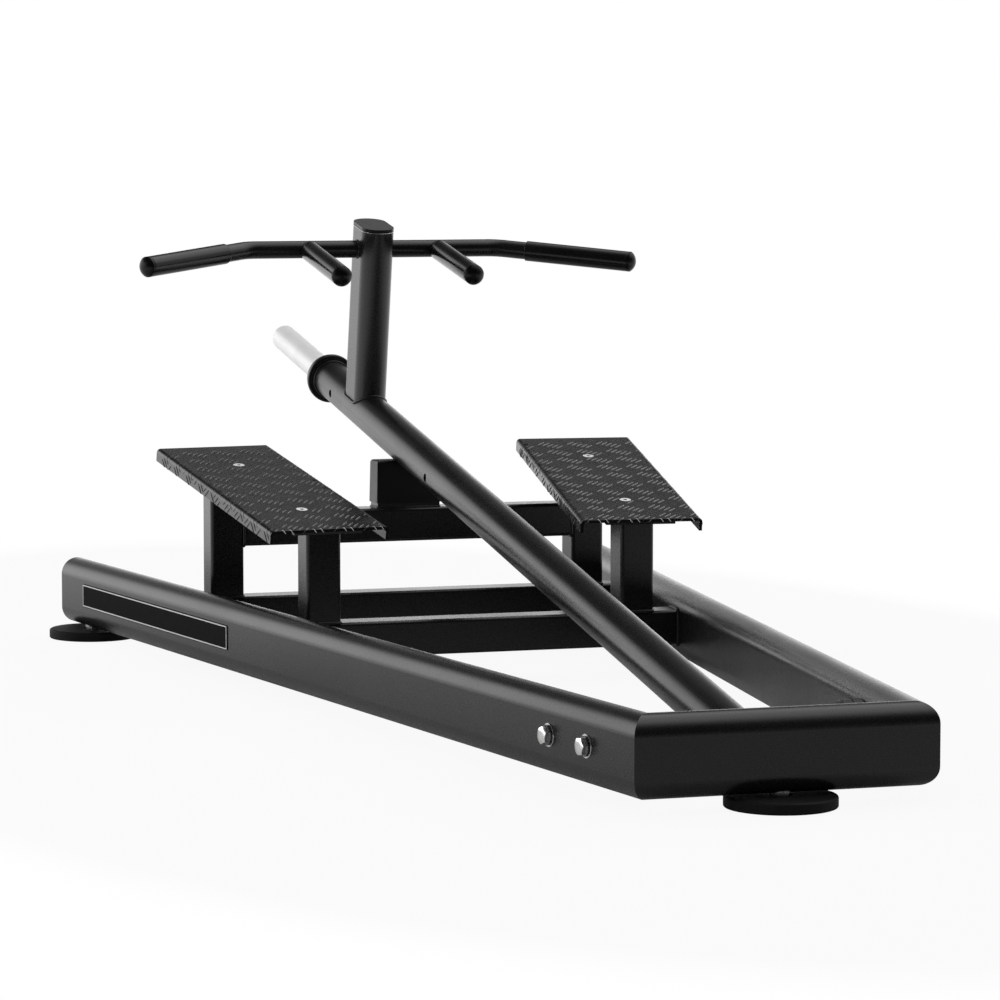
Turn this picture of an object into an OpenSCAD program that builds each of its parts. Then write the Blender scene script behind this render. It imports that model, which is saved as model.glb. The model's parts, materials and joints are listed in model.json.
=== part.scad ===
// T-bar row machine: a low V-shaped floor frame, two raised tread plates and a loading lever
// that is hinged at the narrow end of the frame and carries the handles and a plate sleeve.
// X runs across the machine, +Y from the hinge towards the sleeve, +Z up, floor at z = 0.

/* [Floor frame] */
// Height of the flat-oval rail tube
rail_h = 120; // [100:1:150]
// Width of the flat-oval rail tube
rail_w = 60; // [50:1:76]
// Wall of the rail tube
rail_wall = 3; // [2:0.5:6]
// Length of a rail along its outer face
rail_len = 2300; // [2260:5:2500]
// Angle of each rail to the centre line
rail_splay = 7.7; // [6:0.1:10]
// Outer width of the front beam
front_w = 455; // [430:1:520]
// Thickness of the rim of a rail end cap
rail_cap_t = 4; // [2:0.5:8]

/* [Bare plate on the left rail] */
// Length of the plate
plate_len = 706; // [600:1:710]
// Height of the plate
plate_h = 42; // [30:1:50]
// Thickness of the plate
plate_t = 1.5; // [1:0.1:3]
// Distance of the plate from the rail's front corner
plate_start = 1481; // [1440:1:1500]
// Height of the plate's middle above the floor
plate_z = 82; // [76:1:84]
// Radius of the plate's corners
plate_corner_r = 3; // [1:0.5:8]

/* [Cross members and posts] */
// Side of the square tube
box = 60; // [50:1:66]
// Outer corner radius of the square tube
box_r = 6; // [3:0.5:10]
// Wall of the square tube
box_wall = 3; // [2:0.5:5]
// Distance of the front cross member behind the front beam's face
front_cross_y = 1417; // [1400:1:1430]
// Distance of the rear cross member behind the front beam's face
rear_cross_y = 1843.5; // [1830:0.5:1860]
// Height of the upper beam's underside
upper_beam_z = 200; // [180:1:206]

/* [Tread plates] */
// Width of a tread plate
tread_w = 213; // [200:1:240]
// Length of a tread plate
tread_len = 557.5; // [550:0.5:600]
// Thickness of the tread sheet
tread_t = 5; // [3:0.5:7]
// Height of the bent-down sides, sheet included
tread_flange = 22; // [16:1:30]
// Outer radius of the bend
tread_bend_r = 7; // [6:0.5:9]
// Slope of a tread plate, rising towards the rear
tread_pitch = 10.2; // [9:0.1:11.5]
// Angle of a tread plate to the centre line
tread_splay = 6.65; // [5.5:0.05:8]
// Distance of a tread plate's middle from the centre line
tread_x = 308; // [300:1:325]
// Distance of a tread plate's middle behind the front beam's face
tread_y = 1630; // [1625:1:1635]
// Height of the middle of the tread surface
tread_z = 321.5; // [316:0.5:335]
// Distance between the two screws of a tread plate
tread_screw_gap = 300; // [280:1:310]
// Thread diameter of the tread screws
tread_screw_d = 10; // [8:1:12]

/* [Post head plates] */
// Width of a head plate
head_w = 122; // [100:1:150]
// Thickness of a head plate
head_t = 6; // [4:0.5:10]
// Overhang of a head plate past the outer side of its post
head_over = 24; // [10:1:30]
// Distance of the tread screw from the inner edge of a head plate
head_edge = 28; // [18:1:36]

/* [Lever stop] */
// Width of the rubber stop at its foot
stop_w = 120; // [100:1:150]
// Depth of the rubber stop at its foot
stop_d = 49; // [40:1:56]
// Amount that each side of the stop leans in over its height
stop_draft = 1.5; // [0:0.5:4]
// Radius of the stop's top edges
stop_r = 5; // [2:0.5:8]
// Depth by which the lever lies in the stop
stop_cradle = 7; // [3:0.5:12]
// Thickness of the stop's steel base
stop_base_t = 9; // [5:0.5:14]
// Inset of the steel base inside the stop's foot
stop_base_inset = 2; // [0:0.5:5]

/* [Lever] */
// Outer diameter of the lever tube
lever_d = 70; // [60:1:78]
// Wall of the lever tube
lever_wall = 4; // [3:0.5:6]
// Distance from the hinge axis to the collar
lever_len = 2145; // [2100:5:2200]
// Length of the lever tube in front of the hinge axis
lever_tail = 42; // [36:1:60]
// Slope of the lever when it lies on its stop
lever_rest = 10.2; // [9.4:0.1:11.5]
// Distance of the hinge axis behind the front beam's face
pivot_y = 213; // [190:1:240]
// Diameter of the holes in the lever's sides
lever_hole_d = 15; // [10:0.5:20]
// Distance of the lower side hole from the hinge axis
lever_hole_near = 1418; // [1350:1:1450]
// Distance of the upper side hole from the hinge axis
lever_hole_far = 2036; // [2020:1:2060]

/* [Hinge] */
// Diameter of the hinge shaft
shaft_d = 30; // [25:1:35]
// Distance between each end of the hinge shaft and the rail
shaft_end_gap = 8; // [5:0.5:12]
// Outer diameter of the hub tube that is welded through the lever
hub_d = 50; // [44:1:56]
// Diameter of the ball bearing's spherical outer ring
ring_d = 62; // [60:1:68]
// Width of the bearing's outer ring
ring_w = 18; // [16:1:20]
// Outer diameter of the bearing's inner ring
inner_ring_d = 40; // [39:0.5:42]
// Length of the inner ring towards the rail
inner_ring_out = 13; // [11:0.5:14]
// Length of the inner ring towards the lever
inner_ring_in = 22; // [18:0.5:26]
// Number of balls in a bearing
ball_count = 9; // [6:1:10]
// Diameter of a bearing ball
ball_d = 9; // [8:0.25:9.5]
// Distance of the bearing's centre from the rail
bearing_off = 20; // [18:0.5:22]
// Depth of the bearing housing
housing_depth = 32; // [30:0.5:36]
// Height of the bearing housing
housing_h = 80; // [76:1:90]
// Thickness of the housing's bolt ears
housing_ear_t = 14; // [10:0.5:16]
// Step between the housing's foot and its round body
housing_step = 1.5; // [1:0.5:3]
// Chamfer of the housing body's edge
housing_chamfer = 3; // [1:0.5:4]
// Distance between the two bolts of a housing
housing_bolt_gap = 118; // [112:1:130]
// Thread diameter of the housing bolts
housing_bolt_d = 16; // [12:1:18]

/* [Collar and sleeve] */
// Diameter of the collar
collar_d = 93; // [80:1:110]
// Thickness of the collar
collar_t = 22; // [20:1:30]
// Radius of the collar's edges
collar_r = 3; // [1:0.5:4]
// Diameter of the collar's low boss on the lever's side
collar_boss_d = 82; // [78:1:88]
// Height of the collar's boss
collar_boss_t = 4; // [2:0.5:5]
// Diameter of the collar's lip that the weight plates rest on
collar_lip_d = 89; // [84:1:92]
// Thickness of the collar's lip
collar_lip_t = 5; // [3:0.5:6]
// Diameter at the bottom of the groove between the collar's flange and its lip
collar_groove_d = 81; // [76:1:83]
// Width of the groove between the collar's flange and its lip
collar_groove_w = 1.5; // [1:0.5:3]
// Diameter of the plate sleeve
sleeve_d = 50; // [48:0.5:52]
// Wall of the plate sleeve
sleeve_wall = 6; // [4:0.5:10]
// Length of the plate sleeve outside the collar
sleeve_len = 334; // [280:1:420]
// Chamfer at the sleeve's end
sleeve_chamfer = 3; // [1:0.5:5]

/* [Handle post] */
// Width of the flat-oval handle post
handle_w = 60; // [50:1:70]
// Length of the handle post's section along the lever
handle_l = 110; // [90:1:130]
// Wall of the handle post
handle_wall = 3; // [2:0.5:5]
// Distance of the handle post from the hinge axis
handle_s = 1920; // [1900:1:1940]
// Height of the handle post's cap above the lever's axis
handle_h = 347; // [335:1:380]
// Thickness of the cap's rim
handle_cap_t = 7; // [4:0.5:12]
// Height and depth of the shadow groove under the cap's rim
handle_cap_groove = 1.2; // [0.5:0.1:2]

/* [Handlebar] */
// Height of the handlebar above the lever's axis
bar_h = 301; // [285:1:310]
// Diameter of the handlebar tube
bar_d = 32; // [28:1:34]
// Wall of the handlebar and side bar tubes
bar_wall = 3; // [2:0.5:4]
// Distance of the bend's corner from the centre line
bend_x = 238; // [220:1:260]
// Angle of the bend towards the hinge
bend_angle = 32; // [20:1:40]
// Centre-line radius of the bend
bend_r = 60; // [50:1:70]
// Amount by which a bend's wall stands over the straight tube's wall
bend_swell = 0.05; // [0.02:0.01:0.2]
// Angle by which a bend laps into the straight tube at each end
bend_lap = 0.5; // [0.2:0.1:1]
// Length of an outer arm from the bend's corner to the end of its grip
arm_len = 252; // [220:1:300]
// Distance of the side bars from the centre line
side_x = 123; // [100:1:140]
// Length of a side bar from the handlebar's axis to the end of its grip
side_len = 228; // [180:1:260]
// Diameter of the side bar tube
side_d = 30; // [26:1:31]

/* [Grips] */
// Outer diameter of the rubber grips
grip_d = 37; // [36:0.5:42]
// Length of an outer grip
outer_grip_len = 194; // [140:1:198]
// Gap between the handlebar and a side grip
side_grip_gap = 4; // [2:0.5:20]
// Radius of the grips' edges
grip_edge_r = 1.5; // [0.5:0.1:1.8]
// Length of the end cap's rim
tip_rim = 4; // [2:0.5:8]
// Height of the end cap's dome
tip_dome = 10; // [6:0.5:14]
// Depth of the end cap's plug in its tube
tip_plug = 18; // [10:1:30]

/* [Feet] */
// Diameter of a foot pad
foot_d = 161; // [140:1:180]
// Height of a foot pad
foot_h = 17; // [16:0.5:22]
// Radius of a foot pad's top edge
foot_top_r = 4; // [2:0.5:10]
// Radius of a foot pad's bottom edge
foot_bottom_r = 3; // [1:0.5:4]
// Gap between a foot pad and the frame
foot_gap = 3; // [2:0.5:6]
// Distance of a rear foot from the end of its rail
foot_inset = 82; // [80:1:120]
// Diameter of a foot's stud
stud_d = 16; // [14:1:18]
// Height of a foot's stud above the frame's underside
stud_reach = 55; // [50:1:80]
// Outer diameter of the threaded bush in the frame
bush_d = 30; // [28:1:34]
// Length of the threaded bush
bush_len = 30; // [25:1:45]
// Thickness of the foot's lock nut
lock_nut_t = 6; // [5:0.5:7]

/* [Fits] */
// Clearance between pieces of one body that fit in each other
seat_gap = 0.05; // [0.02:0.01:0.1]
// Radial clearance of a thread or a running fit
run_gap = 0.05; // [0.02:0.01:0.08]
// Clearance between the lever and its stop
stop_gap = 0.3; // [0.2:0.1:1]

/* [Hidden] */
$fn = 64;

coat = "#26282a";
rubber = "#161616";
plastic = "#1b1b1c";
steel = "#c9cbcd";
zinc = "#b4b7ba";
iron = "#303336";

// Heights of the floor frame
frame_z = foot_h + foot_gap;
rail_mid_z = frame_z + rail_h / 2;
cross_top_z = rail_mid_z + box / 2;
beam_top_z = upper_beam_z + box;

// The whole machine is moved back so that its origin is under the middle of its length
sleeve_end_s = lever_len + collar_t + sleeve_len;
front_most_y = rail_w / 2 - foot_d / 2;
rear_most_y = pivot_y + sleeve_end_s * cos(lever_rest)
    + (sleeve_d / 2 - sleeve_chamfer) * sin(lever_rest);
mid_y = (front_most_y + rear_most_y) / 2;

// Anything longer than the machine, for cutting planes
far = 3000;
// Overlap of a cutting tool past the face that it cuts
over = 1;

// The mitre between a rail and the front beam halves their angle
mitre_angle = 90 + (90 - rail_splay) / 2;

// Posts stand on a line parallel to the rail, under the middle of the tread plate
front_post_x = tread_x + (front_cross_y - tread_y) * tan(rail_splay);
rear_post_x = tread_x + (rear_cross_y - tread_y) * tan(rail_splay);

// Places on a tread plate, measured along it from its middle
tread_screw_s = tread_screw_gap / 2;
front_post_s = (tread_y - front_cross_y) / cos(tread_splay) / cos(tread_pitch);
rear_post_s = (rear_cross_y - tread_y) / cos(tread_splay) / cos(tread_pitch);
tread_inner_r = tread_bend_r - tread_t / 2 - 1;
tread_head_d = 2 * tread_screw_d;
tread_head_t = (tread_head_d - tread_screw_d) / 2;
tread_screw_len = tread_t + head_t + 6;
tread_socket_d = 0.7 * tread_screw_d;
tread_socket_t = 0.4 * tread_screw_d;

// Lever axis above the stop
stop_axis_z = rail_mid_z + (rear_cross_y - pivot_y) * tan(lever_rest);
lever_under_z = stop_axis_z - lever_d / 2 / cos(lever_rest);
stop_foot_z = beam_top_z + stop_base_t;
stop_top_z = lever_under_z + stop_cradle;
stop_h = stop_top_z - stop_foot_z;

// Bearing centres: the shaft runs across the machine, the housings stand square to the rails
bearing_local_x = -rail_w - bearing_off;
bearing_local_y = (pivot_y + bearing_local_x * sin(rail_splay)) / cos(rail_splay);
bearing_x = front_w / 2 + bearing_local_x * cos(rail_splay) + bearing_local_y * sin(rail_splay);
rail_inner_x = front_w / 2 + pivot_y * tan(rail_splay) - rail_w / cos(rail_splay);
ball_ring_r = (ring_d + inner_ring_d) / 4;
outer_race_r = ball_ring_r + 2;
housing_body_d = housing_h - 2 * housing_step;
hub_half = bearing_x - inner_ring_in - 1;
shaft_half = rail_inner_x - shaft_end_gap;

// Housing bolts, by the usual proportions of hexagon bolts
bolt_head_t = 0.63 * housing_bolt_d;
bolt_head_d = 1.7 * housing_bolt_d;
bolt_hole_d = housing_bolt_d + 2;
washer_d = 2.15 * housing_bolt_d;
washer_t = 2.5;
bolt_nut_t = 0.8 * housing_bolt_d;
bolt_tip = 4;
spot_face_d = washer_d + 4;
housing_ear_r = spot_face_d / 2 + 1;
spot_face_t = 2;
bolt_ear_face = housing_ear_t - spot_face_t;
bolt_len = washer_t + rail_w + bolt_ear_face + washer_t + bolt_nut_t + bolt_tip;

// Handle post and handlebar
handle_round = handle_w / 2;
bend_tangent = bend_r * tan(bend_angle / 2);
side_start = bar_d / 2 + side_grip_gap;

// Feet
stud_flange_d = 2.8 * stud_d;
stud_flange_t = 4;
stud_foot_z = 4;
lock_nut_d = 1.73 * stud_d;
nut_well_d = lock_nut_d + 6;
nut_well_z = frame_z - lock_nut_t - 0.5;
rear_foot_s = rail_len - foot_inset;

// Frames of reference

// Puts a piece that is laid out from the front beam's face at its place about the origin
module placed() {
    translate([0, -mid_y, 0]) children();
}

// Draws a piece of the right side on the left as well
module both_sides() {
    children();
    mirror([1, 0, 0]) children();
}

// Right rail: origin at the front outer corner on the floor, +Y along the rail, +X outwards
module rail_frame() {
    translate([front_w / 2, 0, 0]) rotate([0, 0, -rail_splay]) children();
}

// Right tread plate: origin in the middle of its surface, +Y along the plate
module tread_frame() {
    translate([tread_x, tread_y, tread_z])
        rotate([0, 0, -tread_splay]) rotate([tread_pitch, 0, 0]) children();
}

// Lever at rest: origin on the hinge axis, +Y along the lever
module lever_frame() {
    translate([0, pivot_y, rail_mid_z]) rotate([lever_rest, 0, 0]) children();
}

// Handlebar: as the lever, at the middle of the handlebar
module bar_frame() {
    lever_frame() translate([0, handle_s, bar_h]) children();
}

// Right housing: origin on the rail's inner face at the housing's middle, +Z into the machine
module housing_frame() {
    rail_frame() translate([-rail_w, bearing_local_y, rail_mid_z]) rotate([0, -90, 0]) children();
}

// Right bearing: origin at the bearing's centre, +Z along the shaft towards the lever
module bearing_frame() {
    translate([bearing_x, pivot_y, rail_mid_z]) rotate([0, -90, 0]) children();
}

// Right outer arm of the handlebar: origin at the bend's corner, +Z along the arm
module arm_frame() {
    bar_frame() translate([bend_x, 0, 0]) rotate([0, 0, -bend_angle]) rotate([0, 90, 0]) children();
}

// Right side bar: origin on the handlebar's axis, +Z along the side bar towards the hinge
module side_frame() {
    bar_frame() translate([side_x, 0, 0]) rotate([90, 0, 0]) children();
}

// Profiles

// Flat oval, standing on end
module flat_oval(w, h) {
    square([w, h - w], center = true);
    for (s = [-1, 1]) translate([0, s * (h - w) / 2]) circle(d = w);
}

// Square with rounded corners
module soft_square(w, r) {
    square([w - 2 * r, w], center = true);
    square([w, w - 2 * r], center = true);
    for (x = [-1, 1], y = [-1, 1]) translate([x * (w / 2 - r), y * (w / 2 - r)]) circle(r = r);
}

// Wall of a flat-oval tube
module oval_wall(w, h, t) {
    difference() {
        flat_oval(w, h);
        flat_oval(w - 2 * t, h - 2 * t);
    }
}

// Wall of a square tube
module box_wall_profile() {
    difference() {
        soft_square(box, box_r);
        soft_square(box - 2 * box_wall, max(box_r - box_wall, 0.5));
    }
}

// Extrusion along +Y of a profile drawn in X and Z
module along_y(length) {
    rotate([-90, 0, 0]) linear_extrude(length) children();
}

// Extrusion along X, centred, of a profile drawn in Y and Z
module along_x(length) {
    rotate([90, 0, 90]) linear_extrude(length, center = true) children();
}

// Floor frame

// Everything on the front beam's side of the right mitre
module beam_side_of_mitre() {
    translate([front_w / 2, 0, 0]) rotate([0, 0, mitre_angle])
        translate([-far / 2, 0, -over]) cube([far, far, rail_h + frame_z + 2 * over]);
}

// Everything on the rail's side of the right mitre
module rail_side_of_mitre() {
    translate([front_w / 2, 0, 0]) rotate([0, 0, mitre_angle])
        translate([-far / 2, -far, -over]) cube([far, far, rail_h + frame_z + 2 * over]);
}

module right_rail_shape() {
    difference() {
        rail_frame() translate([-rail_w / 2, 0, rail_mid_z])
            along_y(rail_len) oval_wall(rail_w, rail_h, rail_wall);
        beam_side_of_mitre();
        rail_frame() for (s = [-1, 1])
            translate([-rail_w - over, bearing_local_y + s * housing_bolt_gap / 2, rail_mid_z])
                rotate([0, 90, 0]) cylinder(d = bolt_hole_d, h = rail_w + 2 * over);
        rail_frame() translate([-rail_w / 2, rear_foot_s, frame_z - over])
            cylinder(r = bush_d / 2 + seat_gap, h = bush_len);
    }
}

module left_rail() { color(coat) placed() mirror([1, 0, 0]) right_rail_shape(); }

module right_rail() { color(coat) placed() right_rail_shape(); }

module front_beam() {
    color(coat) placed() difference() {
        translate([0, rail_w / 2, rail_mid_z]) along_x(front_w + 2 * over)
            oval_wall(rail_w, rail_h, rail_wall);
        both_sides() rail_side_of_mitre();
        translate([0, rail_w / 2, frame_z - over]) cylinder(r = bush_d / 2 + seat_gap, h = bush_len);
    }
}

// Plastic cap: a rim on the rail's end and a plug inside it
module right_cap_shape() {
    plug_t = rail_wall + 0.3;
    plug_len = 25;
    rail_frame() translate([-rail_w / 2, rail_len, rail_mid_z]) {
        along_y(rail_cap_t) flat_oval(rail_w, rail_h);
        translate([0, -plug_len, 0]) along_y(plug_len) difference() {
            flat_oval(rail_w - 2 * plug_t, rail_h - 2 * plug_t);
            flat_oval(rail_w - 4 * plug_t, rail_h - 4 * plug_t);
        }
    }
}

module left_rail_cap() { color(plastic) placed() mirror([1, 0, 0]) right_cap_shape(); }

module right_rail_cap() { color(plastic) placed() right_cap_shape(); }

module rounded_bar(w, h, r) {
    square([w - 2 * r, h], center = true);
    square([w, h - 2 * r], center = true);
    for (x = [-1, 1], y = [-1, 1]) translate([x * (w / 2 - r), y * (h / 2 - r)]) circle(r = r);
}

// Bare plate on the left rail's outer face
module name_plate() {
    color(plastic) placed() mirror([1, 0, 0]) rail_frame()
        translate([0, plate_start + plate_len / 2, plate_z]) rotate([90, 0, 90])
            linear_extrude(plate_t) rounded_bar(plate_len, plate_h, plate_corner_r);
}

// Square tube between the rails, its ends cut to lie on their inner faces
module cross_member(y) {
    difference() {
        translate([0, y, rail_mid_z]) along_x(far) box_wall_profile();
        both_sides() rail_frame() translate([-rail_w, -far / 2, 0]) cube([far, 2 * far, far]);
    }
}

module front_cross_member() { color(coat) placed() cross_member(front_cross_y); }

module rear_cross_member() { color(coat) placed() cross_member(rear_cross_y); }

module upper_beam() {
    color(coat) placed() translate([0, rear_cross_y, upper_beam_z + box / 2])
        along_x(2 * rear_post_x - box) box_wall_profile();
}

// Post of the right side, cut to lie under its head plate
module post(x, y) {
    difference() {
        translate([x, y, cross_top_z]) linear_extrude(tread_z) box_wall_profile();
        tread_frame() translate([-far / 2, -far / 2, -tread_t - head_t]) cube([far, far, far]);
    }
}

module front_left_post() {
    color(coat) placed() mirror([1, 0, 0]) post(front_post_x, front_cross_y);
}

module front_right_post() { color(coat) placed() post(front_post_x, front_cross_y); }

module rear_left_post() {
    color(coat) placed() mirror([1, 0, 0]) post(rear_post_x, rear_cross_y);
}

module rear_right_post() { color(coat) placed() post(rear_post_x, rear_cross_y); }

// Head plates and tread plates

// Plate on a post, from past the post to past the tread screw; way is -1 in front, 1 behind
module head_plate(way, post_s) {
    outer_s = post_s + box / 2 + head_over;
    inner_s = tread_screw_s - head_edge;
    head_len = outer_s - inner_s;
    tread_frame() difference() {
        translate([0, way * (outer_s + inner_s) / 2, -tread_t - head_t / 2])
            cube([head_w, head_len, head_t], center = true);
        translate([0, way * tread_screw_s, -tread_t - head_t - over])
            cylinder(r = tread_screw_d / 2 + run_gap, h = head_t + 2 * over);
    }
}

module front_left_head_plate() {
    color(coat) placed() mirror([1, 0, 0]) head_plate(-1, front_post_s);
}

module front_right_head_plate() { color(coat) placed() head_plate(-1, front_post_s); }

module rear_left_head_plate() {
    color(coat) placed() mirror([1, 0, 0]) head_plate(1, rear_post_s);
}

module rear_right_head_plate() { color(coat) placed() head_plate(1, rear_post_s); }

// Half of the plate's bent outline, from the middle to the outer side
module tread_half_outline(w, h, r) {
    translate([0, -h]) square([w / 2, h - r]);
    translate([0, -r]) square([w / 2 - r, r]);
    translate([w / 2 - r, -r]) intersection() {
        circle(r = r);
        square(r);
    }
}

// Section of a tread plate: sheet with its two long sides bent down
module tread_section() {
    for (side = [0, 1]) mirror([side, 0]) difference() {
        tread_half_outline(tread_w, tread_flange, tread_bend_r);
        translate([-over, -tread_t]) tread_half_outline(
            tread_w - 2 * tread_t + 2 * over, tread_flange, tread_inner_r);
    }
}

module tread_plate() {
    tread_frame() difference() {
        translate([0, tread_len / 2, 0]) rotate([90, 0, 0])
            linear_extrude(tread_len) tread_section();
        for (s = [-1, 1]) translate([0, s * tread_screw_s, 0]) {
            translate([0, 0, -tread_t - over])
                cylinder(d = tread_screw_d + 1, h = tread_t + 2 * over);
            translate([0, 0, -tread_head_t]) cylinder(
                d1 = tread_screw_d + 2 * seat_gap, d2 = tread_head_d + 2 * seat_gap,
                h = tread_head_t + 0.001);
        }
    }
}

module left_tread_plate() { color(coat) placed() mirror([1, 0, 0]) tread_plate(); }

module right_tread_plate() { color(coat) placed() tread_plate(); }

// Countersunk screw with a hexagon socket, its head flush with z = 0
module countersunk_screw() {
    difference() {
        union() {
            translate([0, 0, -tread_head_t])
                cylinder(d1 = tread_screw_d, d2 = tread_head_d, h = tread_head_t);
            translate([0, 0, -tread_screw_len])
                cylinder(d = tread_screw_d, h = tread_screw_len - tread_head_t);
        }
        translate([0, 0, -tread_socket_t])
            cylinder(d = tread_socket_d, h = tread_socket_t + over, $fn = 6);
    }
}

module tread_screws() {
    color(zinc) placed() both_sides() tread_frame()
        for (s = [-1, 1]) translate([0, s * tread_screw_s, 0]) countersunk_screw();
}

// Lever stop

module stop_base() {
    color(coat) placed() translate([0, rear_cross_y, beam_top_z + stop_base_t / 2])
        cube([stop_w - 2 * stop_base_inset, stop_d - 2 * stop_base_inset, stop_base_t],
            center = true);
}

// Side view of the stop: sides that lean in, and rounded top corners
module stop_outline(w) {
    top = w / 2 - stop_draft;
    difference() {
        polygon([[-w / 2, 0], [w / 2, 0], [top, stop_h], [-top, stop_h]]);
        for (s = [-1, 1]) translate([s * (top - stop_r), stop_h - stop_r]) difference() {
            translate([s > 0 ? 0 : -2 * stop_r, 0]) square(2 * stop_r);
            circle(r = stop_r);
        }
    }
}

module stop_block() {
    color(rubber) placed() difference() {
        translate([0, rear_cross_y, stop_foot_z]) intersection() {
            rotate([90, 0, 0]) linear_extrude(2 * stop_d, center = true) stop_outline(stop_w);
            along_x(2 * stop_w) stop_outline(stop_d);
        }
        lever_frame() rotate([-90, 0, 0]) cylinder(r = lever_d / 2 + stop_gap, h = lever_len);
    }
}

// Hinge

// Oval foot of a housing: the round middle and two ears, joined by their common tangents
module housing_foot() {
    reach = housing_bolt_gap / 2;
    big = housing_h / 2;
    turn = acos((big - housing_ear_r) / reach);
    for (s = [-1, 1]) {
        translate([0, s * reach]) circle(r = housing_ear_r);
        polygon([
            [-big * sin(turn), s * big * cos(turn)],
            [-housing_ear_r * sin(turn), s * (reach + housing_ear_r * cos(turn))],
            [housing_ear_r * sin(turn), s * (reach + housing_ear_r * cos(turn))],
            [big * sin(turn), s * big * cos(turn)],
            [0, 0]]);
    }
    circle(r = big);
}

// Two-bolt housing: oval foot, round body and a spherical seat for the bearing
module housing_shape() {
    difference() {
        union() {
            linear_extrude(housing_ear_t) housing_foot();
            cylinder(d = housing_body_d, h = housing_depth - housing_chamfer);
            translate([0, 0, housing_depth - housing_chamfer]) cylinder(
                d1 = housing_body_d, d2 = housing_body_d - 2 * housing_chamfer, h = housing_chamfer);
        }
        translate([0, 0, bearing_off]) sphere(d = ring_d + 2 * seat_gap);
        translate([0, 0, -over]) cylinder(d = ring_d - 8, h = housing_depth + 2 * over);
        for (s = [-1, 1]) translate([0, s * housing_bolt_gap / 2, 0]) {
            translate([0, 0, -over]) cylinder(d = bolt_hole_d, h = housing_ear_t + 2 * over);
            translate([0, 0, bolt_ear_face]) cylinder(d = spot_face_d, h = housing_depth);
        }
    }
}

module left_bearing_housing() { color(iron) placed() mirror([1, 0, 0]) housing_frame() housing_shape(); }

module right_bearing_housing() { color(iron) placed() housing_frame() housing_shape(); }

module outer_ring() {
    rotate_extrude($fn = 128) difference() {
        intersection() {
            circle(d = ring_d);
            translate([outer_race_r, -ring_w / 2]) square([ring_d, ring_w]);
        }
        translate([ball_ring_r, 0]) circle(r = ball_d / 2 + seat_gap);
    }
}

module left_bearing_outer_ring() { color(steel) placed() mirror([1, 0, 0]) bearing_frame() outer_ring(); }

module right_bearing_outer_ring() { color(steel) placed() bearing_frame() outer_ring(); }

module bearing_balls() {
    color(steel) placed() both_sides() bearing_frame() for (i = [0 : ball_count - 1])
        rotate([0, 0, i * 360 / ball_count]) translate([ball_ring_r, 0, 0]) sphere(d = ball_d);
}

// Wide inner ring: groove for the balls, bore for the shaft
module inner_ring() {
    difference() {
        translate([0, 0, -inner_ring_out]) cylinder(d = inner_ring_d, h = inner_ring_out + inner_ring_in);
        translate([0, 0, -inner_ring_out - over])
            cylinder(r = shaft_d / 2 + seat_gap, h = inner_ring_out + inner_ring_in + 2 * over);
        rotate_extrude() translate([ball_ring_r, 0]) circle(r = ball_d / 2 + 0.1);
    }
}

module left_bearing_inner_ring() { color(steel) placed() mirror([1, 0, 0]) bearing_frame() inner_ring(); }

module right_bearing_inner_ring() { color(steel) placed() bearing_frame() inner_ring(); }

// Draws a piece at each of the four housing bolts, +Z from the rail's outer face inwards
module at_housing_bolts() {
    both_sides() rail_frame() for (s = [-1, 1])
        translate([0, bearing_local_y + s * housing_bolt_gap / 2, rail_mid_z])
            rotate([0, -90, 0]) children();
}

module hexagon(d, h) {
    cylinder(d = d, h = h, $fn = 6);
}

module housing_bolts() {
    color(zinc) placed() at_housing_bolts() {
        translate([0, 0, -washer_t - bolt_head_t]) hexagon(bolt_head_d, bolt_head_t);
        translate([0, 0, -washer_t]) cylinder(d = housing_bolt_d, h = bolt_len);
    }
}

module bolt_washer() {
    difference() {
        cylinder(d = washer_d, h = washer_t);
        translate([0, 0, -over]) cylinder(d = housing_bolt_d + 1, h = washer_t + 2 * over);
    }
}

module housing_washers() {
    color(zinc) placed() at_housing_bolts() {
        translate([0, 0, -washer_t]) bolt_washer();
        translate([0, 0, rail_w + bolt_ear_face]) bolt_washer();
    }
}

module housing_nuts() {
    color(zinc) placed() at_housing_bolts() translate([0, 0, rail_w + bolt_ear_face + washer_t])
        difference() {
            hexagon(bolt_head_d, bolt_nut_t);
            translate([0, 0, -over])
                cylinder(r = housing_bolt_d / 2 + run_gap, h = bolt_nut_t + 2 * over);
        }
}

module pivot_shaft() {
    color(steel) placed() translate([0, pivot_y, rail_mid_z]) rotate([0, 90, 0])
        cylinder(d = shaft_d, h = 2 * shaft_half, center = true);
}

module pivot_hub() {
    color(coat) placed() translate([0, pivot_y, rail_mid_z]) rotate([0, 90, 0]) difference() {
        cylinder(d = hub_d, h = 2 * hub_half, center = true);
        cylinder(r = shaft_d / 2 + seat_gap, h = far, center = true);
    }
}

// Lever

// Round tube along +Y from the given start
module lever_core(d, from, to) {
    translate([0, from, 0]) rotate([-90, 0, 0]) cylinder(d = d, h = to - from);
}

module lever_tube() {
    color(coat) placed() lever_frame() difference() {
        lever_core(lever_d, -lever_tail, lever_len);
        lever_core(lever_d - 2 * lever_wall, -lever_tail + lever_wall, lever_len + over);
        rotate([0, 90, 0]) cylinder(r = hub_d / 2 + seat_gap, h = 2 * lever_d, center = true);
        for (s = [lever_hole_near, lever_hole_far])
            translate([0, s, 0]) rotate([0, 90, 0])
                cylinder(d = lever_hole_d, h = 2 * lever_d, center = true);
    }
}

// Disc with rounded edges as a half section, from z = 0 up
module soft_disc_section(d, t, r) {
    square([d / 2 - r, t]);
    translate([0, r]) square([d / 2, t - 2 * r]);
    for (z = [r, t - r]) translate([d / 2 - r, z]) circle(r = r);
}

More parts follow.
